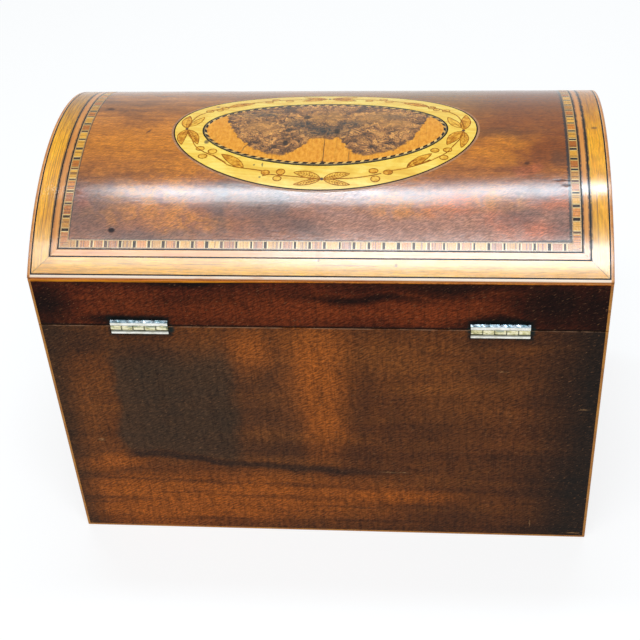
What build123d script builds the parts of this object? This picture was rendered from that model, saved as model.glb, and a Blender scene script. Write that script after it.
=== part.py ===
from build123d import *
from math import cos, radians, sin
import os

# A dome-topped two-compartment tea caddy, in millimetres.
# The origin is the middle of the resting face, +Z is up, the lock faces -Y and the hinges +Y.
# Left and right are as seen from the lock side, so left is -X.

# Overall sizes
case_width = 190.0
case_depth = 112.0
eave_height = 124.0
parting_height = 103.5
dome_half_angle = 41.0
parting_gap = 0.3

# Carcase boards
wall_thickness = 8.0
bottom_thickness = 7.0
dome_board_thickness = 5.0
partition_thickness = 5.0

# Veneers and edgings
veneer_thickness = 1.0
rim_facing_thickness = 1.2
edge_string_height = 1.0
arris_string_width = 1.0
edge_softening = 0.3
corner_softening = 0.5
mitre_joint = 0.04

# Bands laid round the dome, from its edge inwards
ebony_line_width = 0.5
satinwood_width = 5.5
boxwood_width = 2.1
chequer_width = 3.0

# Oval medallion, half sizes in plan
oval_half_length = 51.7
oval_half_width = 28.5
oval_tulipwood_width = 0.7
oval_ebony_width = 0.46
panel_half_length = 42.2
panel_half_width = 19.0
panel_ebony_width = 0.46
panel_white_width = 0.38
panel_chequer_width = 0.76
panel_joint = 0.04

# Compartments
ledge_drop = 6.4
ledge_width = 2.5
ledge_height = 3.0
foil_thickness = 0.4
inner_lid_thickness = 4.0
inner_lid_clearance = 0.4
inner_lid_softening = 0.5
knob_height = 10.0
knob_radius = 4.0
knob_neck_radius = 1.7
knob_foot_radius = 3.2
knob_tenon_radius = 2.0
knob_foot_height = 0.8
knob_neck_height = 3.5
knob_waist_radius = 2.4
knob_waist_height = 5.0
knob_widest_height = 7.2
knob_crown_radius = 2.2
knob_crown_height = 9.4

# Stop hinges
hinge_length = 19.4
hinge_spacing = 120.0
knuckle_count = 5
knuckle_radius = 1.2
knuckle_end_gap = 0.1
knuckle_clearance = 0.12
pin_radius = 0.55
pin_running_clearance = 0.05
pin_stand_off = 0.4
leaf_width = 8.0
leaf_thickness = 1.2
stop_bar_projection = 1.15
stop_bar_height = 2.5
stop_bar_bevel = 0.3
lid_opening_angle = 95.0
stop_clearance_angle = 0.5
leaf_screw_pitch = 11.0
leaf_screw_setback = 4.6

# Screws
screw_head_radius = 1.3
screw_shank_radius = 0.75
screw_length = 6.0
screw_slot_width = 0.35
screw_slot_depth = 0.3

# Lock
lock_plate_width = 44.0
lock_plate_height = 26.0
lock_plate_thickness = 1.2
selvedge_width = 7.0
lock_case_width = 34.0
lock_case_height = 20.0
lock_case_depth = 6.0
lock_case_wall = 0.8
lock_screw_pitch = 39.0
lock_screw_rise = 14.0
lock_screw_drop = 6.5
bolt_travel = 4.5
bolt_body_length = 8.5
bolt_body_height = 4.8
bolt_nose_height = 2.2
bolt_nose_thickness = 1.6
bolt_running_gap = 0.25
bolt_shoulder_gap = 0.2
key_pin_radius = 0.8
key_pin_drop = 14.5
spring_thickness = 0.4
spring_width = 2.4
spring_root_drop = 10.0
spring_gap = 0.1

# Link plate and its staple on the lid
link_plate_width = 34.0
link_plate_thickness = 1.2
link_screw_pitch = 26.0
staple_thickness = 2.0
staple_width = 3.9
staple_length = 7.2
staple_eye_margin = 0.45
staple_setback = 0.6
staple_slot_clearance = 0.6
bolt_end_gap = 0.8

# Keyhole and its lozenge
keyhole_radius = 1.9
keyhole_slot_width = 1.5
keyhole_slot_length = 5.5
escutcheon_width = 17.0
escutcheon_height = 27.0
escutcheon_stand = 0.2

# Worked out from the sizes above
half_width = case_width / 2
half_depth = case_depth / 2
core_half_width = half_width - veneer_thickness
core_half_depth = half_depth - veneer_thickness
inner_half_width = core_half_width - wall_thickness
inner_half_depth = core_half_depth - wall_thickness
case_top = parting_height - parting_gap / 2
lid_bottom = parting_height + parting_gap / 2
board_top = case_top - rim_facing_thickness
dome_angle = radians(dome_half_angle)
dome_radius = half_depth / sin(dome_angle)
dome_centre = eave_height - dome_radius * cos(dome_angle)
veneer_bed_radius = dome_radius - veneer_thickness
dome_inner_radius = veneer_bed_radius - dome_board_thickness
ledge_top = case_top - ledge_drop
ledge_bottom = ledge_top - ledge_height
pin_y = half_depth + pin_stand_off
front_wall = (-core_half_depth, -inner_half_depth)
back_wall = (inner_half_depth, core_half_depth)
keyhole_centre = case_top - key_pin_drop
lock_cap_back = -inner_half_depth - lock_plate_thickness
lock_cap_front = lock_cap_back - lock_case_depth
staple_middle = lock_cap_back - staple_setback - staple_width / 2

os.makedirs("parts", exist_ok=True)


def save(piece, name):
    """Labels a finished piece and writes it to its own file."""
    piece.part.label = name
    export_step(piece.part, f"parts/{name}.step")


def slab(x_span, y_span, z_span, mode=Mode.ADD):
    """Fills three spans, each a (low, high) pair, in the piece that is open."""
    with BuildSketch(Plane.XY.offset(z_span[0])) as outline:
        with Locations((sum(x_span) / 2, sum(y_span) / 2)):
            Rectangle(x_span[1] - x_span[0], y_span[1] - y_span[0])
    extrude(outline.sketch, amount=z_span[1] - z_span[0], mode=mode)


def under_arc(radius, x_span, y_span, z_low):
    """Fills the two spans from a level up to a cylinder about the dome's axis."""
    with BuildSketch(Plane.YZ.offset(x_span[0])) as outline:
        with Locations((0, dome_centre)):
            Circle(radius)
        with Locations((sum(y_span) / 2, z_low + radius)):
            Rectangle(y_span[1] - y_span[0], 2 * radius, mode=Mode.INTERSECT)
    extrude(outline.sketch, amount=x_span[1] - x_span[0])


def dome_layer(inset, mode=Mode.ADD):
    """The dome's veneer layer, inside an inset from all four of its edges."""
    reach = half_width - inset
    half_sweep = dome_half_angle - inset / dome_radius / radians(1)
    with BuildSketch(Plane.YZ.offset(-reach)) as section:
        with BuildLine():
            outer = CenterArc((0, dome_centre), dome_radius, 90 - half_sweep, 2 * half_sweep)
            inner = CenterArc((0, dome_centre), veneer_bed_radius, 90 - half_sweep, 2 * half_sweep)
            Line(outer @ 0, inner @ 0)
            Line(outer @ 1, inner @ 1)
        make_face()
    extrude(section.sketch, amount=2 * reach, mode=mode)


def cut_dome_mitres(outer_inset, inner_inset):
    """Cuts the hairline joint at each corner of a band, square to the dome."""
    middle_inset = (outer_inset + inner_inset) / 2
    lean = dome_angle - middle_inset / dome_radius
    cut_length = 2 * (inner_inset - outer_inset) + veneer_thickness
    for end in (-1, 1):
        corner_plane = Plane(
            origin=(0, end * dome_radius * sin(lean), dome_centre + dome_radius * cos(lean)),
            x_dir=(1, 0, 0),
            z_dir=(0, end * sin(lean), cos(lean)),
        )
        with BuildSketch(corner_plane) as cuts:
            for side in (-1, 1):
                with Locations(Location((side * (half_width - middle_inset), 0), 45 * side * end)):
                    Rectangle(cut_length, mitre_joint)
        extrude(cuts.sketch, amount=2 * veneer_thickness, both=True, mode=Mode.SUBTRACT)


def dome_band(outer_inset, width):
    """Four strips round the dome, mitred at the corners."""
    dome_layer(outer_inset)
    dome_layer(outer_inset + width, Mode.SUBTRACT)
    cut_dome_mitres(outer_inset, outer_inset + width)


def flat_frame(outer_width, outer_depth, strip_width, z_span, corner_radius=0.0):
    """Four level strips round the box, mitred at the corners."""
    with BuildSketch(Plane.XY.offset(z_span[0])) as outline:
        if corner_radius:
            RectangleRounded(outer_width, outer_depth, corner_radius)
        else:
            Rectangle(outer_width, outer_depth)
        Rectangle(outer_width - 2 * strip_width, outer_depth - 2 * strip_width, mode=Mode.SUBTRACT)
    extrude(outline.sketch, amount=z_span[1] - z_span[0])


def cut_flat_mitres(outer_width, outer_depth, strip_width, z_span):
    """Cuts the hairline joint at each corner of a level frame."""
    with BuildSketch(Plane.XY.offset(z_span[0])) as cuts:
        for side in (-1, 1):
            for end in (-1, 1):
                place = (
                    side * (outer_width - strip_width) / 2,
                    end * (outer_depth - strip_width) / 2,
                )
                with Locations(Location(place, 45 * side * end)):
                    Rectangle(2 * strip_width, mitre_joint)
    extrude(cuts.sketch, amount=z_span[1] - z_span[0], mode=Mode.SUBTRACT)


def corner_posts(z_span):
    """A square string at each upright corner of the box, its arris softened."""
    with BuildSketch(Plane.XY.offset(z_span[0])) as outline:
        RectangleRounded(case_width, case_depth, corner_softening)
        Rectangle(2 * core_half_width, case_depth, mode=Mode.SUBTRACT)
        Rectangle(case_width, 2 * core_half_depth, mode=Mode.SUBTRACT)
    extrude(outline.sketch, amount=z_span[1] - z_span[0])


def oval_prism(half_length, half_width_in_plan, mode=Mode.ADD):
    """An upright prism on an oval, tall enough to pass through the dome."""
    with BuildSketch(Plane.XY.offset(dome_centre)) as outline:
        Ellipse(half_length, half_width_in_plan)
    extrude(outline.sketch, amount=dome_radius + veneer_thickness, mode=mode)


def keyhole(y_front, depth):
    """Cuts the keyhole from a front face inwards, through the given depth."""
    with BuildSketch(Plane.XZ.offset(-y_front)) as outline:
        with Locations((0, keyhole_centre)):
            Circle(keyhole_radius)
        with Locations((0, keyhole_centre - keyhole_slot_length / 2)):
            Rectangle(keyhole_slot_width, keyhole_slot_length)
    extrude(outline.sketch, amount=-depth, mode=Mode.SUBTRACT)


def lozenge(y_front, depth, mode=Mode.ADD):
    """The upright lozenge round the keyhole, from a front face inwards."""
    middle = keyhole_centre - keyhole_slot_length / 4
    with BuildSketch(Plane.XZ.offset(-y_front)) as outline:
        with BuildLine():
            Polyline(
                (0, middle - escutcheon_height / 2),
                (escutcheon_width / 2, middle),
                (0, middle + escutcheon_height / 2),
                (-escutcheon_width / 2, middle),
                close=True,
            )
        make_face()
    extrude(outline.sketch, amount=-depth, mode=mode)


def screw_form(slotted):
    """A countersunk wood screw, its head face at the origin and its point at -Z."""
    head_depth = screw_head_radius - screw_shank_radius
    with BuildPart() as screw:
        with BuildSketch(Plane.XZ):
            with BuildLine():
                Polyline(
                    (0, 0),
                    (screw_head_radius, 0),
                    (screw_shank_radius, -head_depth),
                    (screw_shank_radius, -screw_length + screw_shank_radius),
                    (0, -screw_length),
                    close=True,
                )
            make_face()
        revolve(axis=Axis.Z)
        if slotted:
            with BuildSketch():
                Rectangle(3 * screw_head_radius, screw_slot_width)
            extrude(amount=-screw_slot_depth, mode=Mode.SUBTRACT)
    return screw.part


screw = screw_form(slotted=True)
screw_hole = screw_form(slotted=False)

hinge_middles = [-hinge_spacing / 2, hinge_spacing / 2]
leaf_screw_offsets = [-leaf_screw_pitch / 2, leaf_screw_pitch / 2]
leaf_screw_y = half_depth - leaf_screw_setback
case_hinge_screw_places = [
    Location((middle + offset, leaf_screw_y, case_top))
    for middle in hinge_middles
    for offset in leaf_screw_offsets
]
lid_hinge_screw_places = [
    Location((middle + offset, leaf_screw_y, lid_bottom), (180, 0, 0))
    for middle in hinge_middles
    for offset in leaf_screw_offsets
]
lock_screw_places = [
    Location((side * lock_screw_pitch / 2, -inner_half_depth, case_top - drop), (-90, 0, 0))
    for side in (-1, 1)
    for drop in (lock_screw_drop, lock_screw_drop + lock_screw_rise)
]
selvedge_middle = -inner_half_depth - selvedge_width / 2
link_screw_places = [
    Location((side * link_screw_pitch / 2, selvedge_middle, lid_bottom), (180, 0, 0))
    for side in (-1, 1)
]


def cut_leaf_seats(z_span):
    """Lets both hinge leaves into a rim between two levels."""
    for middle in hinge_middles:
        slab(
            (middle - hinge_length / 2, middle + hinge_length / 2),
            (half_depth - leaf_width, half_depth),
            z_span,
            Mode.SUBTRACT,
        )


# Carcase boards
with BuildPart() as bottom_board:
    slab(
        (-core_half_width, core_half_width),
        (-core_half_depth, core_half_depth),
        (0, bottom_thickness),
    )
save(bottom_board, "bottom_board")

with BuildPart() as front_board:
    slab((-core_half_width, core_half_width), front_wall, (bottom_thickness, board_top))
    slab(
        (-lock_plate_width / 2, lock_plate_width / 2),
        (lock_cap_back, -inner_half_depth),
        (case_top - lock_plate_height, board_top),
        Mode.SUBTRACT,
    )
    slab(
        (-lock_plate_width / 2, lock_plate_width / 2),
        (-inner_half_depth - selvedge_width, -inner_half_depth),
        (case_top - lock_plate_thickness, case_top),
        Mode.SUBTRACT,
    )
    slab(
        (-lock_case_width / 2, lock_case_width / 2),
        (lock_cap_front, lock_cap_back),
        (case_top - lock_plate_thickness - lock_case_height, board_top),
        Mode.SUBTRACT,
    )
    keyhole(-core_half_depth, wall_thickness)
    with Locations(*lock_screw_places):
        add(screw_hole, mode=Mode.SUBTRACT)
save(front_board, "front_board")

with BuildPart() as back_board:
    slab((-core_half_width, core_half_width), back_wall, (bottom_thickness, board_top))
    cut_leaf_seats((case_top - leaf_thickness, case_top))
    with Locations(*case_hinge_screw_places):
        add(screw_hole, mode=Mode.SUBTRACT)
save(back_board, "back_board")

for side, name in ((-1, "left_board"), (1, "right_board")):
    with BuildPart() as end_board:
        slab(
            sorted((side * inner_half_width, side * core_half_width)),
            (-inner_half_depth, inner_half_depth),
            (bottom_thickness, board_top),
        )
    save(end_board, name)

with BuildPart() as partition:
    slab(
        (-partition_thickness / 2, partition_thickness / 2),
        (-inner_half_depth, inner_half_depth),
        (bottom_thickness, ledge_top + inner_lid_thickness),
    )
save(partition, "partition")

# Rim facings, cut for the hinge leaves and the lock's top edge
rim_span = (board_top, case_top)
with BuildPart() as rim_facings:
    flat_frame(2 * core_half_width, 2 * core_half_depth, wall_thickness, rim_span)
    cut_flat_mitres(2 * core_half_width, 2 * core_half_depth, wall_thickness, rim_span)
    cut_leaf_seats((case_top - leaf_thickness, case_top))
    slab(
        (-lock_plate_width / 2, lock_plate_width / 2),
        (-inner_half_depth - selvedge_width, -inner_half_depth),
        (case_top - lock_plate_thickness, case_top),
        Mode.SUBTRACT,
    )
save(rim_facings, "rim_facings")

# Compartment fittings
compartment_span = (partition_thickness / 2, inner_half_width)
compartment_width = inner_half_width - partition_thickness / 2
compartment_middle = (inner_half_width + partition_thickness / 2) / 2

with BuildPart() as compartment_ledges:
    for side in (-1, 1):
        x_span = sorted((side * compartment_span[0], side * compartment_span[1]))
        slab(x_span, (-inner_half_depth, inner_half_depth), (ledge_bottom, ledge_top))
        slab(
            (x_span[0] + ledge_width, x_span[1] - ledge_width),
            (-inner_half_depth + ledge_width, inner_half_depth - ledge_width),
            (ledge_bottom, ledge_top),
            Mode.SUBTRACT,
        )
save(compartment_ledges, "compartment_ledges")

with BuildPart() as foil_linings:
    for side in (-1, 1):
        x_span = sorted((side * compartment_span[0], side * compartment_span[1]))
        slab(x_span, (-inner_half_depth, inner_half_depth), (bottom_thickness, ledge_bottom))
        slab(
            (x_span[0] + foil_thickness, x_span[1] - foil_thickness),
            (-inner_half_depth + foil_thickness, inner_half_depth - foil_thickness),
            (bottom_thickness + foil_thickness, ledge_bottom),
            Mode.SUBTRACT,
        )
save(foil_linings, "foil_linings")

# Case veneers and edge strings
case_veneer_span = (edge_string_height, case_top)

with BuildPart() as front_veneer:
    slab((-core_half_width, core_half_width), (-half_depth, -core_half_depth), case_veneer_span)
    lozenge(-half_depth, veneer_thickness, Mode.SUBTRACT)
save(front_veneer, "front_veneer")

with BuildPart() as back_veneer:
    slab((-core_half_width, core_half_width), (core_half_depth, half_depth), case_veneer_span)
    cut_leaf_seats((case_top - leaf_thickness, case_top))
save(back_veneer, "back_veneer")

for side, name in ((-1, "left_veneer"), (1, "right_veneer")):
    with BuildPart() as end_veneer:
        slab(
            sorted((side * core_half_width, side * half_width)),
            (-core_half_depth, core_half_depth),
            case_veneer_span,
        )
    save(end_veneer, name)

with BuildPart() as corner_strings:
    corner_posts(case_veneer_span)
save(corner_strings, "corner_strings")

with BuildPart() as base_strings:
    flat_frame(case_width, case_depth, veneer_thickness, (0, edge_string_height), corner_softening)
    fillet(faces().sort_by(Axis.Z)[0].outer_wire().edges(), edge_softening)
    cut_flat_mitres(case_width, case_depth, veneer_thickness, (0, edge_string_height))
save(base_strings, "base_strings")

# Keyhole lozenge, let through the front veneer
with BuildPart() as escutcheon:
    lozenge(-half_depth - escutcheon_stand, veneer_thickness + escutcheon_stand)
    keyhole(-half_depth - escutcheon_stand, veneer_thickness + escutcheon_stand)
save(escutcheon, "escutcheon")

# Lock: plate with its top edge, cap, sliding bolt, leaf spring and key pin
cap_z_span = (case_top - lock_plate_thickness - lock_case_height, case_top - lock_plate_thickness)
staple_slot_x = staple_thickness / 2 + staple_slot_clearance
staple_slot_y = staple_width / 2 + staple_slot_clearance

with BuildPart() as lock_plate:
    slab(
        (-lock_plate_width / 2, lock_plate_width / 2),
        (lock_cap_back, -inner_half_depth),
        (case_top - lock_plate_height, case_top),
    )
    slab(
        (-lock_plate_width / 2, lock_plate_width / 2),
        (-inner_half_depth - selvedge_width, -inner_half_depth),
        (case_top - lock_plate_thickness, case_top),
    )
    slab(
        (-staple_slot_x, staple_slot_x),
        (staple_middle - staple_slot_y, staple_middle + staple_slot_y),
        (case_top - lock_plate_thickness, case_top),
        Mode.SUBTRACT,
    )
    with Locations(*lock_screw_places):
        add(screw_hole, mode=Mode.SUBTRACT)
save(lock_plate, "lock_plate")

with BuildPart() as lock_cap:
    slab(
        (-lock_case_width / 2, lock_case_width / 2),
        (lock_cap_front, lock_cap_back),
        cap_z_span,
    )
    slab(
        (-lock_case_width / 2 + lock_case_wall, lock_case_width / 2 - lock_case_wall),
        (lock_cap_front + lock_case_wall, lock_cap_back),
        (cap_z_span[0] + lock_case_wall, cap_z_span[1]),
        Mode.SUBTRACT,
    )
    keyhole(lock_cap_front, lock_case_wall)
save(lock_cap, "lock_cap")

bolt_top = case_top - lock_plate_thickness - bolt_running_gap
bolt_bottom = bolt_top - bolt_body_height
bolt_middle = (bolt_top + bolt_bottom) / 2
bolt_tip = -staple_thickness / 2 - bolt_end_gap
bolt_nose_root = bolt_tip - bolt_travel - bolt_shoulder_gap
bolt_tail = bolt_nose_root - bolt_body_length

with BuildPart() as lock_bolt:
    slab(
        (bolt_tail, bolt_nose_root),
        (staple_middle - bolt_nose_thickness / 2, lock_cap_back - bolt_running_gap),
        (bolt_bottom, bolt_top),
    )
    slab(
        (bolt_nose_root, bolt_tip),
        (staple_middle - bolt_nose_thickness / 2, staple_middle + bolt_nose_thickness / 2),
        (bolt_middle - bolt_nose_height / 2, bolt_middle + bolt_nose_height / 2),
    )
save(lock_bolt, "lock_bolt")

spring_wall = -lock_case_width / 2 + lock_case_wall
spring_root = cap_z_span[1] - spring_root_drop
spring_tip_height = bolt_bottom - spring_gap - spring_thickness
spring_bend = (spring_wall + bolt_nose_root) / 2
with BuildPart() as lock_spring:
    with BuildSketch(Plane.XZ.offset(-staple_middle - spring_width / 2)):
        with BuildLine():
            Polyline(
                (spring_wall, spring_root - 2 * spring_thickness),
                (spring_wall, spring_root + 2 * spring_thickness),
                (spring_wall + spring_thickness, spring_root + 2 * spring_thickness),
                (spring_wall + spring_thickness, spring_root + spring_thickness),
                (spring_bend, spring_tip_height + spring_thickness),
                (bolt_nose_root, spring_tip_height + spring_thickness),
                (bolt_nose_root, spring_tip_height),
                (spring_bend, spring_tip_height),
                (spring_wall + spring_thickness, spring_root),
                (spring_wall + spring_thickness, spring_root - 2 * spring_thickness),
                close=True,
            )
        make_face()
    extrude(amount=spring_width)
save(lock_spring, "lock_spring")

with BuildPart() as key_pin:
    with BuildSketch(Plane.XZ.offset(-lock_cap_back)):
        with Locations((0, keyhole_centre)):
            Circle(key_pin_radius)
    extrude(amount=lock_case_depth)
    chamfer(faces().sort_by(Axis.Y)[0].edges(), key_pin_radius / 2)
save(key_pin, "key_pin")

with BuildPart() as lock_screws:
    with Locations(*lock_screw_places):
        add(screw)
save(lock_screws, "lock_screws")

# Lid rails and shaped ends
with BuildPart() as lid_front_rail:
    under_arc(
        dome_inner_radius, (-core_half_width, core_half_width), front_wall, lid_bottom
    )
    slab(
        (-link_plate_width / 2, link_plate_width / 2),
        (-inner_half_depth - selvedge_width, -inner_half_depth),
        (lid_bottom, lid_bottom + link_plate_thickness),
        Mode.SUBTRACT,
    )
    with Locations(*link_screw_places):
        add(screw_hole, mode=Mode.SUBTRACT)
save(lid_front_rail, "lid_front_rail")

with BuildPart() as lid_back_rail:
    under_arc(dome_inner_radius, (-core_half_width, core_half_width), back_wall, lid_bottom)
    cut_leaf_seats((lid_bottom, lid_bottom + leaf_thickness))
    with Locations(*lid_hinge_screw_places):
        add(screw_hole, mode=Mode.SUBTRACT)
save(lid_back_rail, "lid_back_rail")

for side, name in ((-1, "lid_left_end"), (1, "lid_right_end")):
    with BuildPart() as lid_end:
        under_arc(
            dome_inner_radius,
            sorted((side * inner_half_width, side * core_half_width)),
            (-inner_half_depth, inner_half_depth),
            lid_bottom,
        )
    save(lid_end, name)

with BuildPart() as dome_board:
    with BuildSketch(Plane.YZ.offset(-core_half_width)):
        with Locations((0, dome_centre)):
            Circle(veneer_bed_radius)
            Circle(dome_inner_radius, mode=Mode.SUBTRACT)
        with Locations((0, dome_centre + dome_radius / 2)):
            Rectangle(2 * core_half_depth, dome_radius, mode=Mode.INTERSECT)
    extrude(amount=2 * core_half_width)
save(dome_board, "dome_board")

# Lid side veneers and edge strings
lid_veneer_span = (lid_bottom, eave_height - edge_string_height)

with BuildPart() as lid_front_veneer:
    slab((-core_half_width, core_half_width), (-half_depth, -core_half_depth), lid_veneer_span)
save(lid_front_veneer, "lid_front_veneer")

with BuildPart() as lid_back_veneer:
    slab((-core_half_width, core_half_width), (core_half_depth, half_depth), lid_veneer_span)
    cut_leaf_seats((lid_bottom, lid_bottom + leaf_thickness))
save(lid_back_veneer, "lid_back_veneer")

for side, name in ((-1, "lid_left_veneer"), (1, "lid_right_veneer")):
    with BuildPart() as lid_end_veneer:
        under_arc(
            veneer_bed_radius,
            sorted((side * core_half_width, side * half_width)),
            (-core_half_depth, core_half_depth),
            lid_bottom,
        )
    save(lid_end_veneer, name)

with BuildPart() as lid_corner_strings:
    corner_posts((lid_bottom, eave_height))
    with BuildSketch(Plane.YZ.offset(-half_width)):
        with Locations((0, dome_centre)):
            Circle(veneer_bed_radius)
    extrude(amount=case_width, mode=Mode.INTERSECT)
save(lid_corner_strings, "lid_corner_strings")

with BuildPart() as arris_strings:
    dome_layer(0)
    dome_layer(arris_string_width, Mode.SUBTRACT)
    for y_span in ((-half_depth, -core_half_depth), (core_half_depth, half_depth)):
        under_arc(
            veneer_bed_radius,
            (-core_half_width, core_half_width),
            y_span,
            eave_height - edge_string_height,
        )
    long_arrises = edges().filter_by(Axis.X).filter_by_position(
        Axis.Z, eave_height - 0.01, eave_height + 0.01
    )
    end_arrises = edges().filter_by(GeomType.CIRCLE).filter_by(
        lambda edge: abs(edge.radius - dome_radius) < 0.01
        and abs(abs(edge.center().X) - half_width) < 0.01
    )
    chamfer(long_arrises + end_arrises, edge_softening)
    cut_dome_mitres(0, arris_string_width)
save(arris_strings, "arris_strings")

# Bands round the dome, each starting where the one outside it ends
band_inset = arris_string_width
for name, width in (
    ("ebony_line_outer", ebony_line_width),
    ("satinwood_band", satinwood_width),
    ("ebony_line_middle", ebony_line_width),
    ("boxwood_band", boxwood_width),
    ("ebony_line_inner", ebony_line_width),
    ("chequer_band", chequer_width),
):
    with BuildPart() as band:
        dome_band(band_inset, width)
    save(band, name)
    band_inset += width

# Dome field, with the medallion's oval cut through it
medallion_growth = oval_tulipwood_width + oval_ebony_width
with BuildPart() as dome_field:
    dome_layer(band_inset)
    oval_prism(
        oval_half_length + medallion_growth,
        oval_half_width + medallion_growth,
        Mode.SUBTRACT,
    )
save(dome_field, "dome_field")

# Medallion rings, each between two ovals, from the outermost inwards
for name, outer_growth, inner_growth in (
    ("oval_tulipwood_line", medallion_growth, oval_ebony_width),
    ("oval_ebony_line", oval_ebony_width, 0),
):
    with BuildPart() as oval_ring:
        oval_prism(oval_half_length + outer_growth, oval_half_width + outer_growth)
        oval_prism(
            oval_half_length + inner_growth,
            oval_half_width + inner_growth,
            Mode.SUBTRACT,
        )
        dome_layer(band_inset, Mode.INTERSECT)
    save(oval_ring, name)

with BuildPart() as oval_border:
    oval_prism(oval_half_length, oval_half_width)
    oval_prism(panel_half_length, panel_half_width, Mode.SUBTRACT)
    dome_layer(band_inset, Mode.INTERSECT)
save(oval_border, "oval_border")

panel_inset = 0.0
for name, width in (
    ("panel_ebony_line", panel_ebony_width),
    ("panel_white_line", panel_white_width),
    ("panel_chequer_string", panel_chequer_width),
):
    with BuildPart() as panel_ring:
        oval_prism(panel_half_length - panel_inset, panel_half_width - panel_inset)
        panel_inset += width
        oval_prism(
            panel_half_length - panel_inset,
            panel_half_width - panel_inset,
            Mode.SUBTRACT,
        )
        dome_layer(band_inset, Mode.INTERSECT)
    save(panel_ring, name)

# Burr panel in two leaves, opened like a book about the middle
with BuildPart() as burr_panel:
    oval_prism(panel_half_length - panel_inset, panel_half_width - panel_inset)
    dome_layer(band_inset, Mode.INTERSECT)
    slab(
        (-panel_joint / 2, panel_joint / 2),
        (-half_depth, half_depth),
        (dome_centre, dome_centre + dome_radius),
        Mode.SUBTRACT,
    )
save(burr_panel, "burr_panel")

# Link plate, and the staple let through it with an eye that the bolt shoots through
staple_bottom = lid_bottom - staple_length
staple_x_span = (-staple_thickness / 2, staple_thickness / 2)
staple_y_span = (staple_middle - staple_width / 2, staple_middle + staple_width / 2)
eye_half_width = bolt_nose_thickness / 2 + staple_eye_margin
eye_half_height = bolt_nose_height / 2 + staple_eye_margin
link_plate_span = (lid_bottom, lid_bottom + link_plate_thickness)

with BuildPart() as link_plate:
    slab(
        (-link_plate_width / 2, link_plate_width / 2),
        (-inner_half_depth - selvedge_width, -inner_half_depth),
        link_plate_span,
    )
    slab(staple_x_span, staple_y_span, link_plate_span, Mode.SUBTRACT)
    with Locations(*link_screw_places):
        add(screw_hole, mode=Mode.SUBTRACT)
save(link_plate, "link_plate")

with BuildPart() as link_staple:
    slab(staple_x_span, staple_y_span, (staple_bottom, link_plate_span[1]))
    slab(
        staple_x_span,
        (staple_middle - eye_half_width, staple_middle + eye_half_width),
        (bolt_middle - eye_half_height, bolt_middle + eye_half_height),
        Mode.SUBTRACT,
    )
save(link_staple, "link_staple")

with BuildPart() as link_screws:
    with Locations(*link_screw_places):
        add(screw)
save(link_screws, "link_screws")

# Stop hinges: the leaf's plate and bar share one section, and the knuckles take turns
knuckle_pitch = hinge_length / knuckle_count
stop_angle = radians((lid_opening_angle + stop_clearance_angle) / 2)
stop_edge_height = stop_bar_projection * sin(stop_angle) / cos(stop_angle)


def leaf_section(x_start, up):
    """A leaf's plate and stop bar in section: up is 1 for the lid's leaf, -1 for the case's."""
    with BuildSketch(Plane.YZ.offset(x_start)) as section:
        with BuildLine():
            Polyline(
                (half_depth - leaf_width, parting_height + up * parting_gap / 2),
                (half_depth, parting_height + up * parting_gap / 2),
                (pin_y, parting_height),
                (pin_y + stop_bar_projection, parting_height + up * stop_edge_height),
                (
                    pin_y + stop_bar_projection,
                    parting_height + up * (stop_bar_height - stop_bar_bevel),
                ),
                (
                    pin_y + stop_bar_projection - stop_bar_bevel,
                    parting_height + up * stop_bar_height,
                ),
                (half_depth, parting_height + up * stop_bar_height),
                (half_depth, parting_height + up * (parting_gap / 2 + leaf_thickness)),
                (half_depth - leaf_width, parting_height + up * (parting_gap / 2 + leaf_thickness)),
                close=True,
            )
        make_face()
    return section.sketch


def round_bar(x_start, length, radius, mode):
    """A round bar on the pin's axis."""
    with BuildSketch(Plane.YZ.offset(x_start)) as section:
        with Locations((pin_y, parting_height)):
            Circle(radius)
    extrude(section.sketch, amount=length, mode=mode)


def hinge_leaves(up, screw_places):
    """Both hinges' leaves on one side of the parting line, with their own knuckles."""
    bore_radius = pin_radius + pin_running_clearance if up > 0 else pin_radius
    for middle in hinge_middles:
        hinge_start = middle - hinge_length / 2
        extrude(leaf_section(hinge_start, up), amount=hinge_length)
        for index in range(knuckle_count):
            knuckle_start = hinge_start + index * knuckle_pitch
            own_knuckle = index % 2 == (0 if up > 0 else 1)
            if not own_knuckle:
                slot_start = max(knuckle_start - knuckle_end_gap / 2, hinge_start)
                slot_end = knuckle_start + knuckle_pitch + knuckle_end_gap / 2
                slot_end = min(slot_end, hinge_start + hinge_length)
                round_bar(
                    slot_start,
                    slot_end - slot_start,
                    knuckle_radius + knuckle_clearance,
                    Mode.SUBTRACT,
                )
        for index in range(knuckle_count):
            knuckle_start = hinge_start + index * knuckle_pitch
            if index % 2 == (0 if up > 0 else 1):
                bar_start = knuckle_start + (knuckle_end_gap / 2 if index > 0 else 0)
                bar_end = knuckle_start + knuckle_pitch
                bar_end -= knuckle_end_gap / 2 if index < knuckle_count - 1 else 0
                round_bar(bar_start, bar_end - bar_start, knuckle_radius, Mode.ADD)
        round_bar(hinge_start, hinge_length, bore_radius, Mode.SUBTRACT)
    with Locations(*screw_places):
        add(screw_hole, mode=Mode.SUBTRACT)


with BuildPart() as hinge_case_leaves:
    hinge_leaves(-1, case_hinge_screw_places)
save(hinge_case_leaves, "hinge_case_leaves")

with BuildPart() as hinge_lid_leaves:
    hinge_leaves(1, lid_hinge_screw_places)
save(hinge_lid_leaves, "hinge_lid_leaves")

with BuildPart() as hinge_pins:
    for middle in hinge_middles:
        round_bar(middle - hinge_length / 2, hinge_length, pin_radius, Mode.ADD)
save(hinge_pins, "hinge_pins")

with BuildPart() as hinge_case_screws:
    with Locations(*case_hinge_screw_places):
        add(screw)
save(hinge_case_screws, "hinge_case_screws")

with BuildPart() as hinge_lid_screws:
    with Locations(*lid_hinge_screw_places):
        add(screw)
save(hinge_lid_screws, "hinge_lid_screws")

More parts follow.
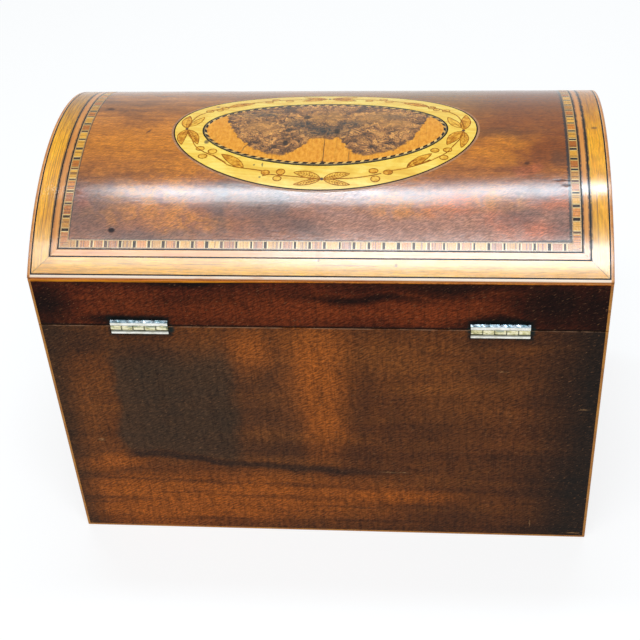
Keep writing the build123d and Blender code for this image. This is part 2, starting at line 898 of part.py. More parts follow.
# Inner lids with turned knobs
inner_lid_width = compartment_width - 2 * inner_lid_clearance
inner_lid_depth = 2 * inner_half_depth - 2 * inner_lid_clearance
inner_lid_top = ledge_top + inner_lid_thickness

for side, hand in ((-1, "left"), (1, "right")):
    middle = side * compartment_middle
    with BuildPart() as inner_lid:
        with BuildSketch(Plane.XY.offset(ledge_top)):
            with Locations((middle, 0)):
                Rectangle(inner_lid_width, inner_lid_depth)
        extrude(amount=inner_lid_thickness)
        fillet(faces().sort_by(Axis.Z)[-1].edges(), inner_lid_softening)
        with BuildSketch(Plane.XY.offset(ledge_top)):
            with Locations((middle, 0)):
                Circle(knob_tenon_radius)
        extrude(amount=inner_lid_thickness, mode=Mode.SUBTRACT)
    save(inner_lid, f"inner_lid_{hand}")

    with BuildPart() as knob:
        with BuildSketch(Plane.XZ.move(Pos(middle, 0, 0))):
            with BuildLine():
                tenon = Polyline(
                    (0, ledge_top),
                    (knob_tenon_radius, ledge_top),
                    (knob_tenon_radius, inner_lid_top),
                    (knob_foot_radius, inner_lid_top),
                    (knob_foot_radius, inner_lid_top + knob_foot_height),
                )
                waist = Spline(
                    tenon @ 1,
                    (knob_neck_radius, inner_lid_top + knob_neck_height),
                    (knob_waist_radius, inner_lid_top + knob_waist_height),
                )
                swell = Spline(
                    waist @ 1,
                    (knob_radius, inner_lid_top + knob_widest_height),
                    (knob_crown_radius, inner_lid_top + knob_crown_height),
                )
                crown = Line(swell @ 1, (0, inner_lid_top + knob_height))
                Line(crown @ 1, tenon @ 0)
            make_face()
        revolve(axis=Axis((middle, 0, 0), (0, 0, 1)))
    save(knob, f"knob_{hand}")
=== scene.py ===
import random
from math import atan2, cos, hypot, pi, radians, sin, sqrt

import bpy
import numpy as np
from mathutils import Euler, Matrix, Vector

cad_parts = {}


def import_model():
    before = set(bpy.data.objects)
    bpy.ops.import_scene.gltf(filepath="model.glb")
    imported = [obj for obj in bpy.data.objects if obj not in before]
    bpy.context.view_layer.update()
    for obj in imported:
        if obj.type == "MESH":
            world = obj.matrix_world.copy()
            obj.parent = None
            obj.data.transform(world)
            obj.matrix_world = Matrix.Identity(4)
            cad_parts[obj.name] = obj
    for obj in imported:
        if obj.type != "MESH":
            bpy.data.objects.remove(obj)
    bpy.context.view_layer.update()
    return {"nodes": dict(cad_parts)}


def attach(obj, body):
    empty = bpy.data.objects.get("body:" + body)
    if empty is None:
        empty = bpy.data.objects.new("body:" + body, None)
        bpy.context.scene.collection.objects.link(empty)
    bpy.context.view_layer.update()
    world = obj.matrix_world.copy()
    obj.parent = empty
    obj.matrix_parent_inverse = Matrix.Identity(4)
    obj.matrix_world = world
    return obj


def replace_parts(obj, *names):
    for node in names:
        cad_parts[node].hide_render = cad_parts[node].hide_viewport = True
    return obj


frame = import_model()
nodes = frame["nodes"]

# The caddy's own sizes in millimetres, and one millimetre in metres
HALF_WIDTH = 95.0
HALF_DEPTH = 56.0
EAVE_HEIGHT = 124.0
CASE_TOP = 103.35
DOME_HALF_ANGLE = radians(41.0)
DOME_RADIUS = HALF_DEPTH / sin(DOME_HALF_ANGLE)
DOME_CENTRE = EAVE_HEIGHT - DOME_RADIUS * cos(DOME_HALF_ANGLE)
HALF_ARC = DOME_RADIUS * DOME_HALF_ANGLE
CHEQUER_OUTER_INSET = 10.1
CHEQUER_INNER_INSET = 13.1
STRING_OUTER = (41.36, 18.16)
STRING_INNER = (40.6, 17.4)
HINGE_MIDDLE = 60.0
HINGE_LENGTH = 19.4
HINGE_REACH = HINGE_MIDDLE + HINGE_LENGTH / 2
KNUCKLE_LENGTH = HINGE_LENGTH / 5
PIN_Y = 56.4
PIN_Z = 103.5
MM = 0.001


class Value:
    """A number, place or colour that a material works out. Sums of such values are written as sums."""

    def __init__(self, socket):
        self.socket = socket

    def __add__(self, other):
        return work_out("ADD", self, other)

    def __sub__(self, other):
        return work_out("SUBTRACT", self, other)

    def __rsub__(self, other):
        return work_out("SUBTRACT", other, self)

    def __mul__(self, other):
        return work_out("MULTIPLY", self, other)

    def __truediv__(self, other):
        return work_out("DIVIDE", self, other)

    def __abs__(self):
        return work_out("ABSOLUTE", self)


class Paint:
    """The material that is being made, with its colour so far. Places are millimetres in the row frame."""

    def __init__(self, name, metallic=0.0, specular=0.5, coat=0.0, coat_roughness=0.12):
        Paint.material = bpy.data.materials.new(name)
        Paint.material.use_nodes = True
        Paint.tree = Paint.material.node_tree
        Paint.tree.nodes.clear()
        Paint.surface = Paint.tree.nodes.new("ShaderNodeBsdfPrincipled")
        output = Paint.tree.nodes.new("ShaderNodeOutputMaterial")
        put(output.inputs["Surface"], Value(Paint.surface.outputs["BSDF"]))
        set_surface("Metallic", metallic)
        set_surface("Specular IOR Level", specular)
        set_surface("Coat Weight", coat)
        set_surface("Coat Roughness", coat_roughness)
        self.place = vector("SCALE", value_of("ShaderNodeTexCoord", "Object"), 1 / MM)
        self.x, self.y, self.z = split(self.place)

    def dome_place(self):
        """(x, s): along the box, and round the dome from its crown towards the hinges."""
        lean = work_out("ARCTAN2", self.y, self.z - DOME_CENTRE)
        return join(self.x, lean * DOME_RADIUS)


def linear(colour):
    """A colour as seen, 0 to 255, as the light that a shader works in. A worked-out colour stays."""
    if isinstance(colour, Value):
        return colour
    parts = [c / 255 for c in colour]
    return tuple(c / 12.92 if c <= 0.04045 else ((c + 0.055) / 1.055) ** 2.4 for c in parts) + (1.0,)


def put(socket, value):
    if isinstance(value, Value):
        Paint.tree.links.new(value.socket, socket)
    else:
        socket.default_value = value


def set_surface(name, value):
    put(Paint.surface.inputs[name], value)


def value_of(kind, output, inputs=None, **settings):
    """One output of a new node of this kind, with what goes into its inputs and its settings."""
    made = Paint.tree.nodes.new(kind)
    for key, value in settings.items():
        setattr(made, key, value)
    for key, value in (inputs or {}).items():
        put(made.inputs[key], value)
    return Value(made.outputs[output])


def work_out(operation, *values):
    return value_of("ShaderNodeMath", 0, dict(enumerate(values)), operation=operation)


def most(a, b):
    return work_out("MAXIMUM", a, b)


def least(a, b):
    return work_out("MINIMUM", a, b)


def vector(operation, a, b=(0, 0, 0)):
    """Works on places or colours part by part. SCALE takes a number as b, and LENGTH gives one."""
    output = "Value" if operation == "LENGTH" else "Vector"
    inputs = {0: a, "Scale" if operation == "SCALE" else 1: b}
    return value_of("ShaderNodeVectorMath", output, inputs, operation=operation)


def split(value):
    made = Paint.tree.nodes.new("ShaderNodeSeparateXYZ")
    put(made.inputs[0], value)
    return [Value(output) for output in made.outputs]


def join(x, y, z=0.0):
    return value_of("ShaderNodeCombineXYZ", 0, {0: x, 1: y, 2: z})


def turned(place, turn):
    return value_of("ShaderNodeMapping", 0, {"Vector": place, "Rotation": (0, 0, turn)})


def stretch(place, factors, turn=0.0, shift=(0, 0, 0)):
    """A place turned, then scaled and shifted, so that noise read off it lies along a slant."""
    place = turned(place, turn) if turn else place
    return value_of("ShaderNodeMapping", 0, {"Vector": place, "Location": shift, "Scale": (*factors, 1)[:3]})


def noise(place, scale=1.0, detail=4.0, roughness=0.5, distortion=0.0, output="Fac"):
    inputs = {"Vector": place, "Scale": scale, "Detail": detail}
    inputs |= {"Roughness": roughness, "Distortion": distortion}
    return value_of("ShaderNodeTexNoise", output, inputs)


def streaked(place, factors, detail, roughness=0.5, distortion=0.0, turn=0.0, shift=(0, 0, 0)):
    """Noise drawn out along one axis, as grain is."""
    return noise(stretch(place, factors, turn, shift), 1.0, detail, roughness, distortion)


def cell_edges(place):
    """How far a place is from the nearest edge between pebble-like cells."""
    inputs = {"Vector": place, "Scale": 1.0}
    return value_of("ShaderNodeTexVoronoi", "Distance", inputs, feature="DISTANCE_TO_EDGE")


def ramp(value, *stops):
    """A colour that runs through stops of (position, colour as seen)."""
    made = Paint.tree.nodes.new("ShaderNodeValToRGB")
    put(made.inputs["Fac"], value)
    points = made.color_ramp.elements
    while len(points) < len(stops):
        points.new(0.5)
    for point, (position, colour) in zip(points, stops):
        point.position = position
        point.color = linear(colour)
    return Value(made.outputs["Color"])


def between(value, low, high, start=0.0, end=1.0, curve="SMOOTHSTEP"):
    """Runs from start to end as value goes from low to high."""
    inputs = {"Value": value, "From Min": low, "From Max": high, "To Min": start, "To Max": end}
    return value_of("ShaderNodeMapRange", "Result", inputs, interpolation_type=curve)


def mix(share, a, b):
    """Colour a with a share of colour b laid over it."""
    return value_of("ShaderNodeMix", 2, {"Factor": share, 6: linear(a), 7: linear(b)}, data_type="RGBA")


def spot(place, centre, radii, soft=0.5, turn=0.0):
    """1 inside an oval, fading to 0 round it."""
    moved = vector("SUBTRACT", place, (*centre, 0))
    scaled = vector("MULTIPLY", stretch(moved, (1, 1, 0), -turn), (1 / radii[0], 1 / radii[1], 0))
    return between(vector("LENGTH", scaled), 1 + soft, 1 - soft)


def stroke(place, start, end, width, soft=0.6):
    """A thin mark from start to end."""
    dx, dy = end[0] - start[0], end[1] - start[1]
    middle = ((start[0] + end[0]) / 2, (start[1] + end[1]) / 2)
    return spot(place, middle, (hypot(dx, dy) / 2, width / 2), soft, atan2(dy, dx))


def spots(place, soft, *items):
    """The strongest of several ovals, each (x, y, x radius, y radius)."""
    total = None
    for x, y, a, b in items:
        one = spot(place, (x, y), (a, b), soft)
        total = most(total, one) if total else one
    return total


def either(choice, a, b):
    """a where choice is 1, and b where it is 0."""
    return choice * a + (1.0 - choice) * b


def gain(colour, value, low, high, darkest, lightest):
    """Darkens and lightens a colour as value goes from low to high."""
    return vector("SCALE", colour, between(value, low, high, darkest, lightest))


def warp(place, scale, amount, detail=2.0):
    """Shifts a place by noise, so that edges read off it wander."""
    drift = vector("SUBTRACT", noise(place, scale, detail, output="Color"), (0.5, 0.5, 0.5))
    return vector("ADD", place, vector("SCALE", drift, amount))


def ground(value, *stops):
    """The material's first colour, a ramp that the others are laid over."""
    Paint.colour = ramp(value, *stops)


def lay(share, colour):
    """Lays a share of another colour over the material's."""
    Paint.colour = mix(share, Paint.colour, colour)


def vary(*settings):
    """Darkens and lightens the material's colour, as gain does."""
    Paint.colour = gain(Paint.colour, *settings)


def rough_by(value, low, high):
    """A roughness from low to high, as noise goes through its usual range."""
    return between(value, 0.3, 0.7, low, high)


def finish(roughness, height=None, depth=0.0):
    """Gives the surface its colour, roughness and relief, depth in millimetres. Returns the material."""
    set_surface("Base Color", Paint.colour)
    set_surface("Roughness", roughness)
    if height:
        relief = {"Distance": depth * MM, "Strength": 1.0, "Height": height}
        set_surface("Normal", value_of("ShaderNodeBump", "Normal", relief))
    return Paint.material


# Materials
def dome_field_wood():
    paint = Paint("dome_field_wood", specular=0.5)
    place = paint.dome_place()
    s = split(place)[1]
    streaks = streaked(place, (0.03, 0.34), 6, 0.6, 0.4)
    clouds = streaked(place, (0.05, 0.07), 5, 0.6, 0.5, shift=(3, 7, 0))
    mottle = streaked(place, (0.17, 0.26), 6, 0.68, 0.9, turn=0.25)
    fibres = streaked(place, (0.24, 1.7), 5, 0.7, turn=0.03)
    flecks = streaked(place, (0.6, 2.2), 4, 0.65, turn=-0.5)
    figure = between(s, 14, 30, 0.16, 0.44)
    tone = streaks * (0.62 - figure) + clouds * 0.38 + mottle * figure
    ground(
        tone, (0.36, (108, 56, 20)), (0.46, (150, 84, 26)), (0.54, (182, 106, 32)), (0.66, (212, 130, 42))
    )
    loose = warp(place, 0.1, 13, 4)
    # Olive beyond the crown, brown at the right, and plum and rose low on the back, which are partly the
    # wood's tone and partly a painted sheen
    olive = between(s, 4, -22) * between(paint.x, 60, -40, 0.35, 1)
    lay(olive * 0.62, (116, 82, 14))
    right = between(split(loose)[0], -40, -66) * between(s, 26, 16)
    lay(right * 0.72, (122, 54, 2))
    plum = between(s, between(paint.x, 30, 60, 18, 23), 32, 0, 0.62)
    lay(plum, (140, 86, 72))
    rosy_sheen = between(s, 33, 40) * between(split(loose)[0], 8, -6)
    lay(rosy_sheen * 0.45, (186, 136, 116))
    # Flamed, red and shaded patches, each where the photograph has it
    flame = spots(
        loose, 0.7, (64, 6, 26, 9), (46, 21, 12, 6), (46.5, 38, 5, 6), (66, 38, 10, 4),
        (-62, 6.5, 8, 3.5), (-57, 14, 8, 4), (-54, 34, 10, 4), (-30, 36, 16, 4), (58, 30, 14, 3),
        (44, 42, 12, 5), (58, 36, 10, 5),
    )
    flame = flame * between(mottle + between(s, 24, 14, 0, 0.12), 0.38, 0.58, 0.25, 1)
    lay(flame * 0.6, (216, 130, 26))
    red = spots(
        loose, 0.7, (-79, 33, 9, 5), (-68, 20, 3.5, 2.5), (-72, 44, 12, 3), (79, 33, 4, 3),
        (-44, 36, 9, 4), (-62, 41, 8, 3),
    )
    red = red * between(mottle, 0.36, 0.58, 0.3, 1)
    lay(red * 0.55, (212, 104, 62))
    shade = spots(
        loose, 0.75, (16, 37, 9, 7), (33, 38, 3.5, 9), (4, 43, 7, 4), (28, 27, 6, 3), (-66, 39, 7, 3),
        (60, 47, 22, 2.5), (-79, 15, 3, 4), (-79, 44, 3, 6), (78, 36, 14, 12), (-58, 2, 14, 3),
        (-76, 30, 10, 3),
    )
    cast = mix(between(s, 14, 26), (84, 50, 26), (74, 62, 62))
    lay(shade * 0.55, cast)
    vary(fibres, 0.34, 0.66, 0.76, 1.24)
    vary(flecks, 0.34, 0.66, between(s, 18, 32, 0.76, 0.6), between(s, 18, 32, 1.24, 1.42))
    # A ragged dark edge along the chequered band, widest at the right
    edge_x = HALF_WIDTH - CHEQUER_INNER_INSET - abs(paint.x)
    edge_s = HALF_ARC - CHEQUER_INNER_INSET - abs(s)
    edge = least(edge_x, edge_s)
    reach = between(paint.x, -60, -80, 0.6, 1.8)
    ragged = noise(place, 0.9, 4, 0.7) * reach
    lay(between(edge - ragged, 0.15, -0.2, 0, 0.9), (34, 34, 36))
    # One hole, a few dents, a nick and three faint marks
    hole = spot(warp(place, 0.8, 0.5), (67.8, 44.6), (1.1, 0.95), 0.4)
    dents = spots(
        warp(place, 0.8, 0.8), 0.5, (77.5, -14.8, 1.5, 0.9), (-68.1, 17.7, 0.9, 0.7),
        (-80.5, 27, 1.6, 0.5), (-79, 25, 2.4, 0.4),
    )
    nick = stroke(warp(place, 0.8, 0.6), (61.6, 2.6), (59.9, 0.2), 0.8)
    dents = most(hole, most(dents, nick) * 0.76)
    lay(dents * 0.92, (34, 36, 42))
    faint = spots(
        warp(place, 0.5, 1.5), 0.8, (31, 31, 0.7, 3), (33, 27, 2, 0.6), (-22, 30.5, 1.6, 0.5)
    )
    lay(faint * 0.4, (70, 62, 66))
    # The polish grows from the crown down to the eave
    polish = between(s, -16, 6, 0.23, 0.32) + between(s, 8, 20, 0, 0.15) + between(s, 27, 36, 0, 0.48)
    set_surface("Specular IOR Level", polish * (1.0 - dents * 0.85))
    ripple = streaked(place, (0.22, 0.7), 5, 0.7)
    height = fibres * 0.9 + ripple + flecks * 0.8 - dents * 1.5
    return finish(rough_by(noise(place, 0.25, 5, 0.6), 0.1, 0.17), height, 0.016)


def plain_marks(place, light):
    """Grain, pores, clouds and knocks of the sides that the photograph doesn't show."""
    grain = streaked(place, (0.016, 0.9), 5, 0.6, 0.2, turn=0.02)
    vary(grain, 0.36, 0.64, 0.62, 1.36)
    pores = streaked(place, (0.1, 3.2), 4, 0.66, turn=0.02)
    lay(between(pores, 0.56, 0.7, 0, 0.55), (34, 17, 10))
    warm = streaked(place, (0.014, 0.026), 5, 0.62, 0.9, shift=(6, 2, 0))
    lay(between(warm, 0.46, 0.64, 0, 0.75), light)
    dusk = streaked(place, (0.02, 0.04), 5, 0.62, 0.9, shift=(2, 9, 0))
    lay(between(dusk, 0.48, 0.64, 0, 0.65), (44, 24, 16))
    knocks = streaked(place, (0.05, 1.2), 4, 0.7, turn=0.5)
    lay(between(knocks, 0.7, 0.76, 0, 0.5), (168, 116, 76))


def case_back_marks(place, loose, loose_x, loose_z):
    """Lit and dark patches, a stain with its tide line, and darkened edges."""
    glow = spots(
        loose, 0.8, (2, 82, 10, 22), (0, 58, 7, 14), (34, 19, 48, 10), (66, 14, 30, 13), (-20, 20, 22, 4),
        (82, 36, 12, 4), (24, 92, 7, 8), (38, 10, 22, 6), (76, 20, 16, 8),
    )
    lay(glow * 0.84, (186, 99, 34))
    mild = spots(loose, 0.8, (-46, 72, 15, 20), (84, 62, 6, 20), (-24, 88, 16, 9))
    lay(mild * 0.45, (140, 80, 34))
    ledge = between(loose_x, 90, -30, 41.8, 34.3)
    above = between(loose_z - ledge, -0.8, 2.2)
    below_top = between(loose_z, 102, 84)
    inside = between(loose_x, 76, 72) * between(loose_x, 28, 35, 0, 0.62)
    inside = (inside + between(loose_x, 4, 12, 0, 0.42)) * between(loose_x, 76, 72)
    patch = above * inside * below_top
    lay(patch * 0.72, (72, 56, 40))
    deep = spots(loose, 0.7, (56, 62, 16, 22), (60, 84, 12, 12), (36, 56, 4, 20))
    lay(deep * 0.34, (40, 36, 28))
    seam = abs(loose_z - (ledge - 1))
    seam = between(seam, 3, 0.6) * between(loose_x, 76, 70) * between(loose_x, -36, 2, 0, 0.8)
    lay(seam, (30, 25, 22))
    gloom = spots(
        loose, 0.9, (-18, 41, 16, 8), (-33, 35, 14, 3), (-24, 56, 8, 18), (80, 95, 9, 3), (64, 93, 10, 4),
        (46, 26, 18, 1), (-14, 33, 22, 1.6), (-53, 96, 8, 3), (-73, 97, 9, 3), (-60, 34, 22, 14),
        (-36, 50, 22, 16), (-82, 82, 12, 26), (-60, 86, 10, 10), (-52, 12, 20, 6), (-14, 66, 6, 20),
        (16, 46, 20, 5),
    )
    lay(gloom * 0.5, (56, 32, 20))
    streaks = streaked(place, (0.016, 0.26), 4, 0.6, 0.3)
    streaks = between(streaks, 0.5, 0.66, 0, 0.5) * between(loose_z, 40, 26)
    lay(streaks, (70, 38, 20))
    edge = between(loose_x, between(loose_z, 0, 90, -58, -62), between(loose_z, 0, 90, -88, -95))
    lay(edge * 0.92, (14, 18, 16))
    left_edge = between(loose_x, 82, 95)
    lay(left_edge * 0.7, (42, 36, 24))
    shoulder = between(loose_z, 82, 102) * between(loose_x, 60, 84)
    lay(shoulder * 0.6, (36, 30, 22))
    foot = between(loose_z, 7, -1) * between(loose_x, 60, -60, 0.15, 0.8)
    lay(foot, (40, 26, 18))
    scratch = spots(
        warp(place, 0.5, 1.2), 0.5, (-74.1, 7.4, 0.25, 1.6), (-90.3, 2.4, 2.2, 0.35),
        (-61.6, 84.7, 2, 0.2), (-89.8, 67.4, 1.4, 0.3), (-24.5, 33.5, 5, 0.2), (82, 48, 1.2, 0.5),
    )
    lay(scratch * 0.6, (176, 130, 84))


def lid_back_marks(paint, loose):
    """Lit and dark patches, and a dark line just above the case."""
    glow = spots(loose, 0.8, (-40, 110, 22, 4), (20, 110, 40, 7), (60, 112, 16, 5))
    lay(glow * 0.5, (140, 62, 26))
    gloom = spots(
        loose, 0.8, (-94, 113, 20, 14), (-48, 122, 32, 4.5), (92, 112, 9, 12), (68, 106, 14, 2),
        (-60, 106, 13, 3), (-14, 116, 22, 2), (-78, 114, 16, 12), (-46, 121, 22, 4), (40, 123, 50, 1.5),
    )
    lay(gloom * 0.9, (12, 6, 6))
    low = between(paint.z, CASE_TOP + 1.4, CASE_TOP + 0.4)
    lay(low * 0.85, (14, 10, 8))


def eave_trim(paint, place):
    """The orange wood along the top of the lid's back."""
    eave = paint.z + noise(place, 0.7, 3, 0.6) * 0.3
    trim = ramp(streaked(place, (0.06, 1.2), 5, 0.6), (0.36, (190, 104, 14)), (0.62, (238, 154, 38)))
    lay(between(eave + between(paint.x, 0, 50, 0, 0.5), EAVE_HEIGHT - 1, EAVE_HEIGHT - 0.75), trim)


def hinge_stains(paint, place):
    """Darker wood round each hinge, and three spots beside them."""
    hinge_x = abs(abs(paint.x) - 60.2) - 9.8
    hinge_z = abs(paint.z - 103.6) - 3.4
    near = most(hinge_x, hinge_z) - noise(place, 0.6, 4, 0.7) * 3.0
    lay(between(near, 0.4, -1.6, 0, 0.9), (12, 20, 18))
    stain = spots(
        warp(place, 0.6, 1.2), 0.6, (49.4, 102.2, 1, 1.5), (-70.6, 103, 0.8, 1.5),
        (-49.7, 103.4, 0.7, 1.2),
    )
    lay(stain * 0.85, (10, 40, 40))


def side_wood(name, across, dark, middle, light, seed, back=""):
    """Mahogany with level grain and a ripple figure across it.

    across is the face's level axis, or plan or rim where the face lies flat. back adds the photo's marks.
    """
    paint = Paint(name, specular={"case": 0.08, "lid": 0.05, "": 0.2}[back])
    if across == "plan":
        place = join(paint.x, paint.y, seed)
    elif across == "rim":
        from_end = HALF_WIDTH - abs(paint.x)
        from_face = HALF_DEPTH - abs(paint.y)
        on_end = work_out("LESS_THAN", from_end, from_face)
        along = either(on_end, paint.y, paint.x)
        side = work_out("SIGN", paint.x) + on_end * 5.0
        place = join(along, least(from_end, from_face), side + seed)
    else:
        place = join(paint.x if across == "x" else paint.y, paint.z, seed)
    bands = streaked(place, (0.012, 0.13), 6, 0.6, 0.4)
    clouds = streaked(place, (0.03, 0.03), 5, 0.6, 0.5)
    ripple = streaked(place, (0.42, 0.022), 3, 0.55, turn=0.02)
    lines = streaked(place, (1.3, 0.09), 3, 0.6, turn=0.02)
    flecks = streaked(place, (0.5, 1.7), 4, 0.65, turn=0.5)
    tone = bands * 0.42 + clouds * 0.36 + ripple * 0.22
    ground(tone, (0.38, dark), (0.5, middle), (0.62, light))
    loose = warp(place, 0.05, 9, 4)
    loose_x, loose_z, _ = split(loose)
    if not back:
        plain_marks(place, light)
    if back == "case":
        case_back_marks(place, loose, loose_x, loose_z)
    if back == "lid":
        lid_back_marks(paint, loose)
    lay(between(lines, 0.44, 0.7, 0, 0.36), (28, 16, 10))
    lay(between(ripple, 0.5, 0.64, 0, 0.22), (26, 18, 12))
    darkest, lightest = (0.5, 1.85) if back else (0.76, 1.32)
    vary(flecks, 0.34, 0.68, darkest, lightest)
    # Painted glints: small bright specks in the flecks
    fleck_glints = between(streaked(place, (0.6, 2), 3, 0.6, turn=0.5, shift=(9, 4, 0)), 0.6, 0.74, 0, 0.6)
    lay(fleck_glints, (178, 124, 82))
    if back == "lid":
        eave_trim(paint, place)
    if back:
        hinge_stains(paint, place)
    rim = between(paint.z, CASE_TOP - 0.42, CASE_TOP - 0.2)
    rim = rim * between(paint.z, CASE_TOP + 0.1, CASE_TOP + 0.05)
    worn = between(noise(place, 0.12, 5, 0.7), 0.36, 0.6, 0, 0.2 if across == "rim" else 0.7)
    lay(rim * worn, (176, 132, 100))
    height = lines * 0.5 + flecks * 0.8
    return finish(rough_by(noise(place, 0.2, 5, 0.6), 0.3, 0.46), height, 0.03)


def banding_wood(name, dark, light, streak, mark):
    """Strips laid round the dome, grain along each. mark adds the satinwood's age, joints and knots, and a
    painted sheen low on the back.
    """
    paint = Paint(name, specular=0.85)
    place = paint.dome_place()
    s = split(place)[1]
    inset_x = HALF_WIDTH - abs(paint.x)
    inset_s = HALF_ARC - abs(s)
    on_end = work_out("LESS_THAN", inset_x, inset_s)
    across = least(inset_x, inset_s)
    along = either(on_end, s, paint.x)
    side = work_out("SIGN", paint.x) + work_out("SIGN", s) * 3.0
    strip = join(along, across, side)
    grain = streaked(strip, (0.03, 0.9, 5), 6, 0.6, 0.3)
    fibres = streaked(strip, (0.25, 5, 5), 4, 0.6)
    clouds = streaked(strip, (0.06, 0.22, 5), 4, 0.6, 0.4)
    tone = grain * 0.55 + clouds * 0.45
    ground(tone, (0.34, dark), (0.62, light))
    lay(between(fibres, 0.48, 0.7, 0, 0.3), streak)
    if mark:
        aged = mix(between(paint.x, 20, -20), (146, 94, 22), (160, 84, 0))
        lay(between(s, 16, -24, 0, 0.66), aged)
        pores = streaked(strip, (0.15, 1.7, 5), 5, 0.75, shift=(0, 3, 0))
        vary(pores, 0.38, 0.62, 1.28, 0.8)
        streaks = streaked(strip, (0.014, 2.2, 5), 4, 0.62, shift=(0, 6, 0))
        streaks = between(streaks, 0.5, 0.62, 0, 0.62) * (on_end * between(paint.x, -20, 20, 0.4, 1))
        lay(streaks, (112, 72, 20))
        specks = streaked(strip, (0.6, 2.2, 5), 4, 0.7, shift=(4, 1, 0))
        lay(between(specks, 0.6, 0.7, 0, 0.4), (104, 70, 30))
        mitre = between(abs(inset_x - inset_s), 0.34, 0.08)
        lay(mitre * 0.6, (92, 60, 28))
        joint = abs(across - 4.9)
        joint = between(joint, 0.34, 0.05)
        present = between(streaked(strip, (0.035, 0, 7), 2), 0.46, 0.56)
        lay(joint * present * 0.62, (110, 72, 30))
        inner = between(across, 4.6, 5.3)
        lay(inner * present * 0.25, (176, 108, 50))
        # Painted sheen: paler low on the back, towards the eave
        lay(between(s, 38, 48, 0, 0.32), (238, 196, 138))
        knots = spots(place, 0.5, (-91, -0.4, 0.9, 0.7), (-26, 56, 0.5, 0.6), (-1, 54.5, 0.4, 0.5))
        lay(knots * 0.7, (92, 66, 34))
    line = least(abs(across - 7.25), abs(across - 9.85))
    soak = between(line, 0.85, 0.4) * on_end * between(paint.x, 20, -20, 0.6, 0.9)
    lay(soak * between(noise(strip, 0.5, 4, 0.6), 0.34, 0.56, 0.3, 1), (40, 30, 22))
    set_surface("Specular IOR Level", between(s, 6, 22, 0.32, 0.78))
    return finish(rough_by(noise(place, 0.3, 5, 0.6), 0.12, 0.2), fibres + grain, 0.008)


def line_wood(name, dark, light, wear, specular=0.3):
    """A narrow line: close grain, with wear where polish has gone."""
    paint = Paint(name, specular=specular)
    fine = noise(paint.place, 2.2, 5, 0.65)
    slow = noise(paint.place, 0.11, 4, 0.6)
    ground(fine * 0.5 + slow * 0.5, (0.36, dark), (0.62, light))
    patches = between(noise(paint.place, 0.35, 5, 0.7), 0.58, 0.7) * 0.5
    lay(patches, wear)
    return finish(rough_by(slow, 0.18, 0.32), fine, 0.006)


def arris_wood():
    """The string on the lid's arrises: orange on its upright face, with a pale painted highlight where it
    meets the dome.
    """
    paint = Paint("arris_string_wood", specular=0.6)
    fine = noise(paint.place, 2, 5, 0.65)
    slow = streaked(paint.place, (0.05, 0.3, 0.3), 4, 0.6)
    tone = fine * 0.45 + slow * 0.55
    ground(tone, (0.38, (218, 128, 24)), (0.6, (255, 174, 58)))
    radius = vector("LENGTH", join(0, paint.y, paint.z - DOME_CENTRE))
    inset = HALF_WIDTH - abs(paint.x)
    # Painted highlight: pale along the top where the string meets the dome
    crown = between(radius, DOME_RADIUS - 0.28, DOME_RADIUS - 0.08) * between(slow, 0.3, 0.44, 0.45, 0.92)
    crown = crown * between(inset, 0.7, 1.3)
    lay(crown, (252, 230, 206))
    rubbed = between(inset, 1.1, 0.5) * between(fine, 0.4, 0.6, 0.35, 0.8)
    lay(rubbed, (150, 84, 46))
    return finish(rough_by(slow, 0.16, 0.28), fine, 0.006)


def chip_wood(name, dark, light, stripe, stripes=0.0, specular=0.85):
    """Small inlaid chips, each a little different from the next, with a share of fine stripes."""
    paint = Paint(name, specular=specular)
    island = value_of("ShaderNodeNewGeometry", "Random Per Island")
    place = paint.dome_place()
    shifted = vector("ADD", place, join(0, 0, island * 90))
    grain = streaked(shifted, (1.6, 1.6), 4, 0.6)
    tone = island * 0.55 + grain * 0.5
    ground(tone, (0.25, dark), (0.85, light))
    if stripes:
        s = split(place)[1]
        on_end = work_out("GREATER_THAN", abs(paint.x), HALF_WIDTH - CHEQUER_INNER_INSET)
        along = either(on_end, s, paint.x)
        wave = noise(join(along * 1.9, 0, island * 40), 1, 2, 0.5)
        lay(between(wave, 0.5, 0.62, 0, stripes), stripe)
        set_surface("Specular IOR Level", between(s, 8, 44, 0.3, specular))
    return finish(rough_by(grain, 0.18, 0.3), grain, 0.006)


def vine_wood(name, dark, light, scorched, share, specular=0.16):
    """Holly dipped in hot sand, which leaves it golden with soft brown scorches."""
    paint = Paint(name, specular=specular)
    place = paint.dome_place()
    grain = streaked(place, (1.2, 1.6), 4, 0.6)
    ground(grain, (0.32, dark), (0.66, light))
    scorch = streaked(place, (0.42, 0.6), 4, 0.62, 0.5, shift=(1, 4, 0))
    lay(between(scorch, 0.42, 0.6, 0, share), scorched)
    return finish(rough_by(grain, 0.2, 0.3), grain, 0.006)


def holly_wood():
    """The medallion's border."""
    paint = Paint("medallion_holly", specular=0.34)
    place = paint.dome_place()
    grain = streaked(place, (0.07, 0.75), 5, 0.6, 0.4, turn=0.1)
    stain = streaked(place, (0.1, 0.16), 5, 0.62, 0.5, shift=(5, 0, 0))
    tone = grain * 0.45 + stain * 0.55
    ground(tone, (0.34, (230, 172, 54)), (0.48, (247, 202, 78)), (0.62, (254, 224, 110)))
    streaks = streaked(place, (0.25, 3.4), 3, 0.6)
    lay(between(streaks, 0.54, 0.74, 0, 0.3), (206, 146, 66))
    marks = spots(
        warp(place, 0.9, 0.5), 0.4, (39.8, 7.4, 0.8, 1.1), (39.1, -16.4, 0.7, 0.5),
        (22.4, 18.7, 0.35, 0.35), (19.6, 18.6, 0.25, 0.9), (20.1, 24, 0.4, 0.35),
    )
    lay(marks * 0.8, (70, 60, 50))
    return finish(rough_by(stain, 0.2, 0.3), grain, 0.01)


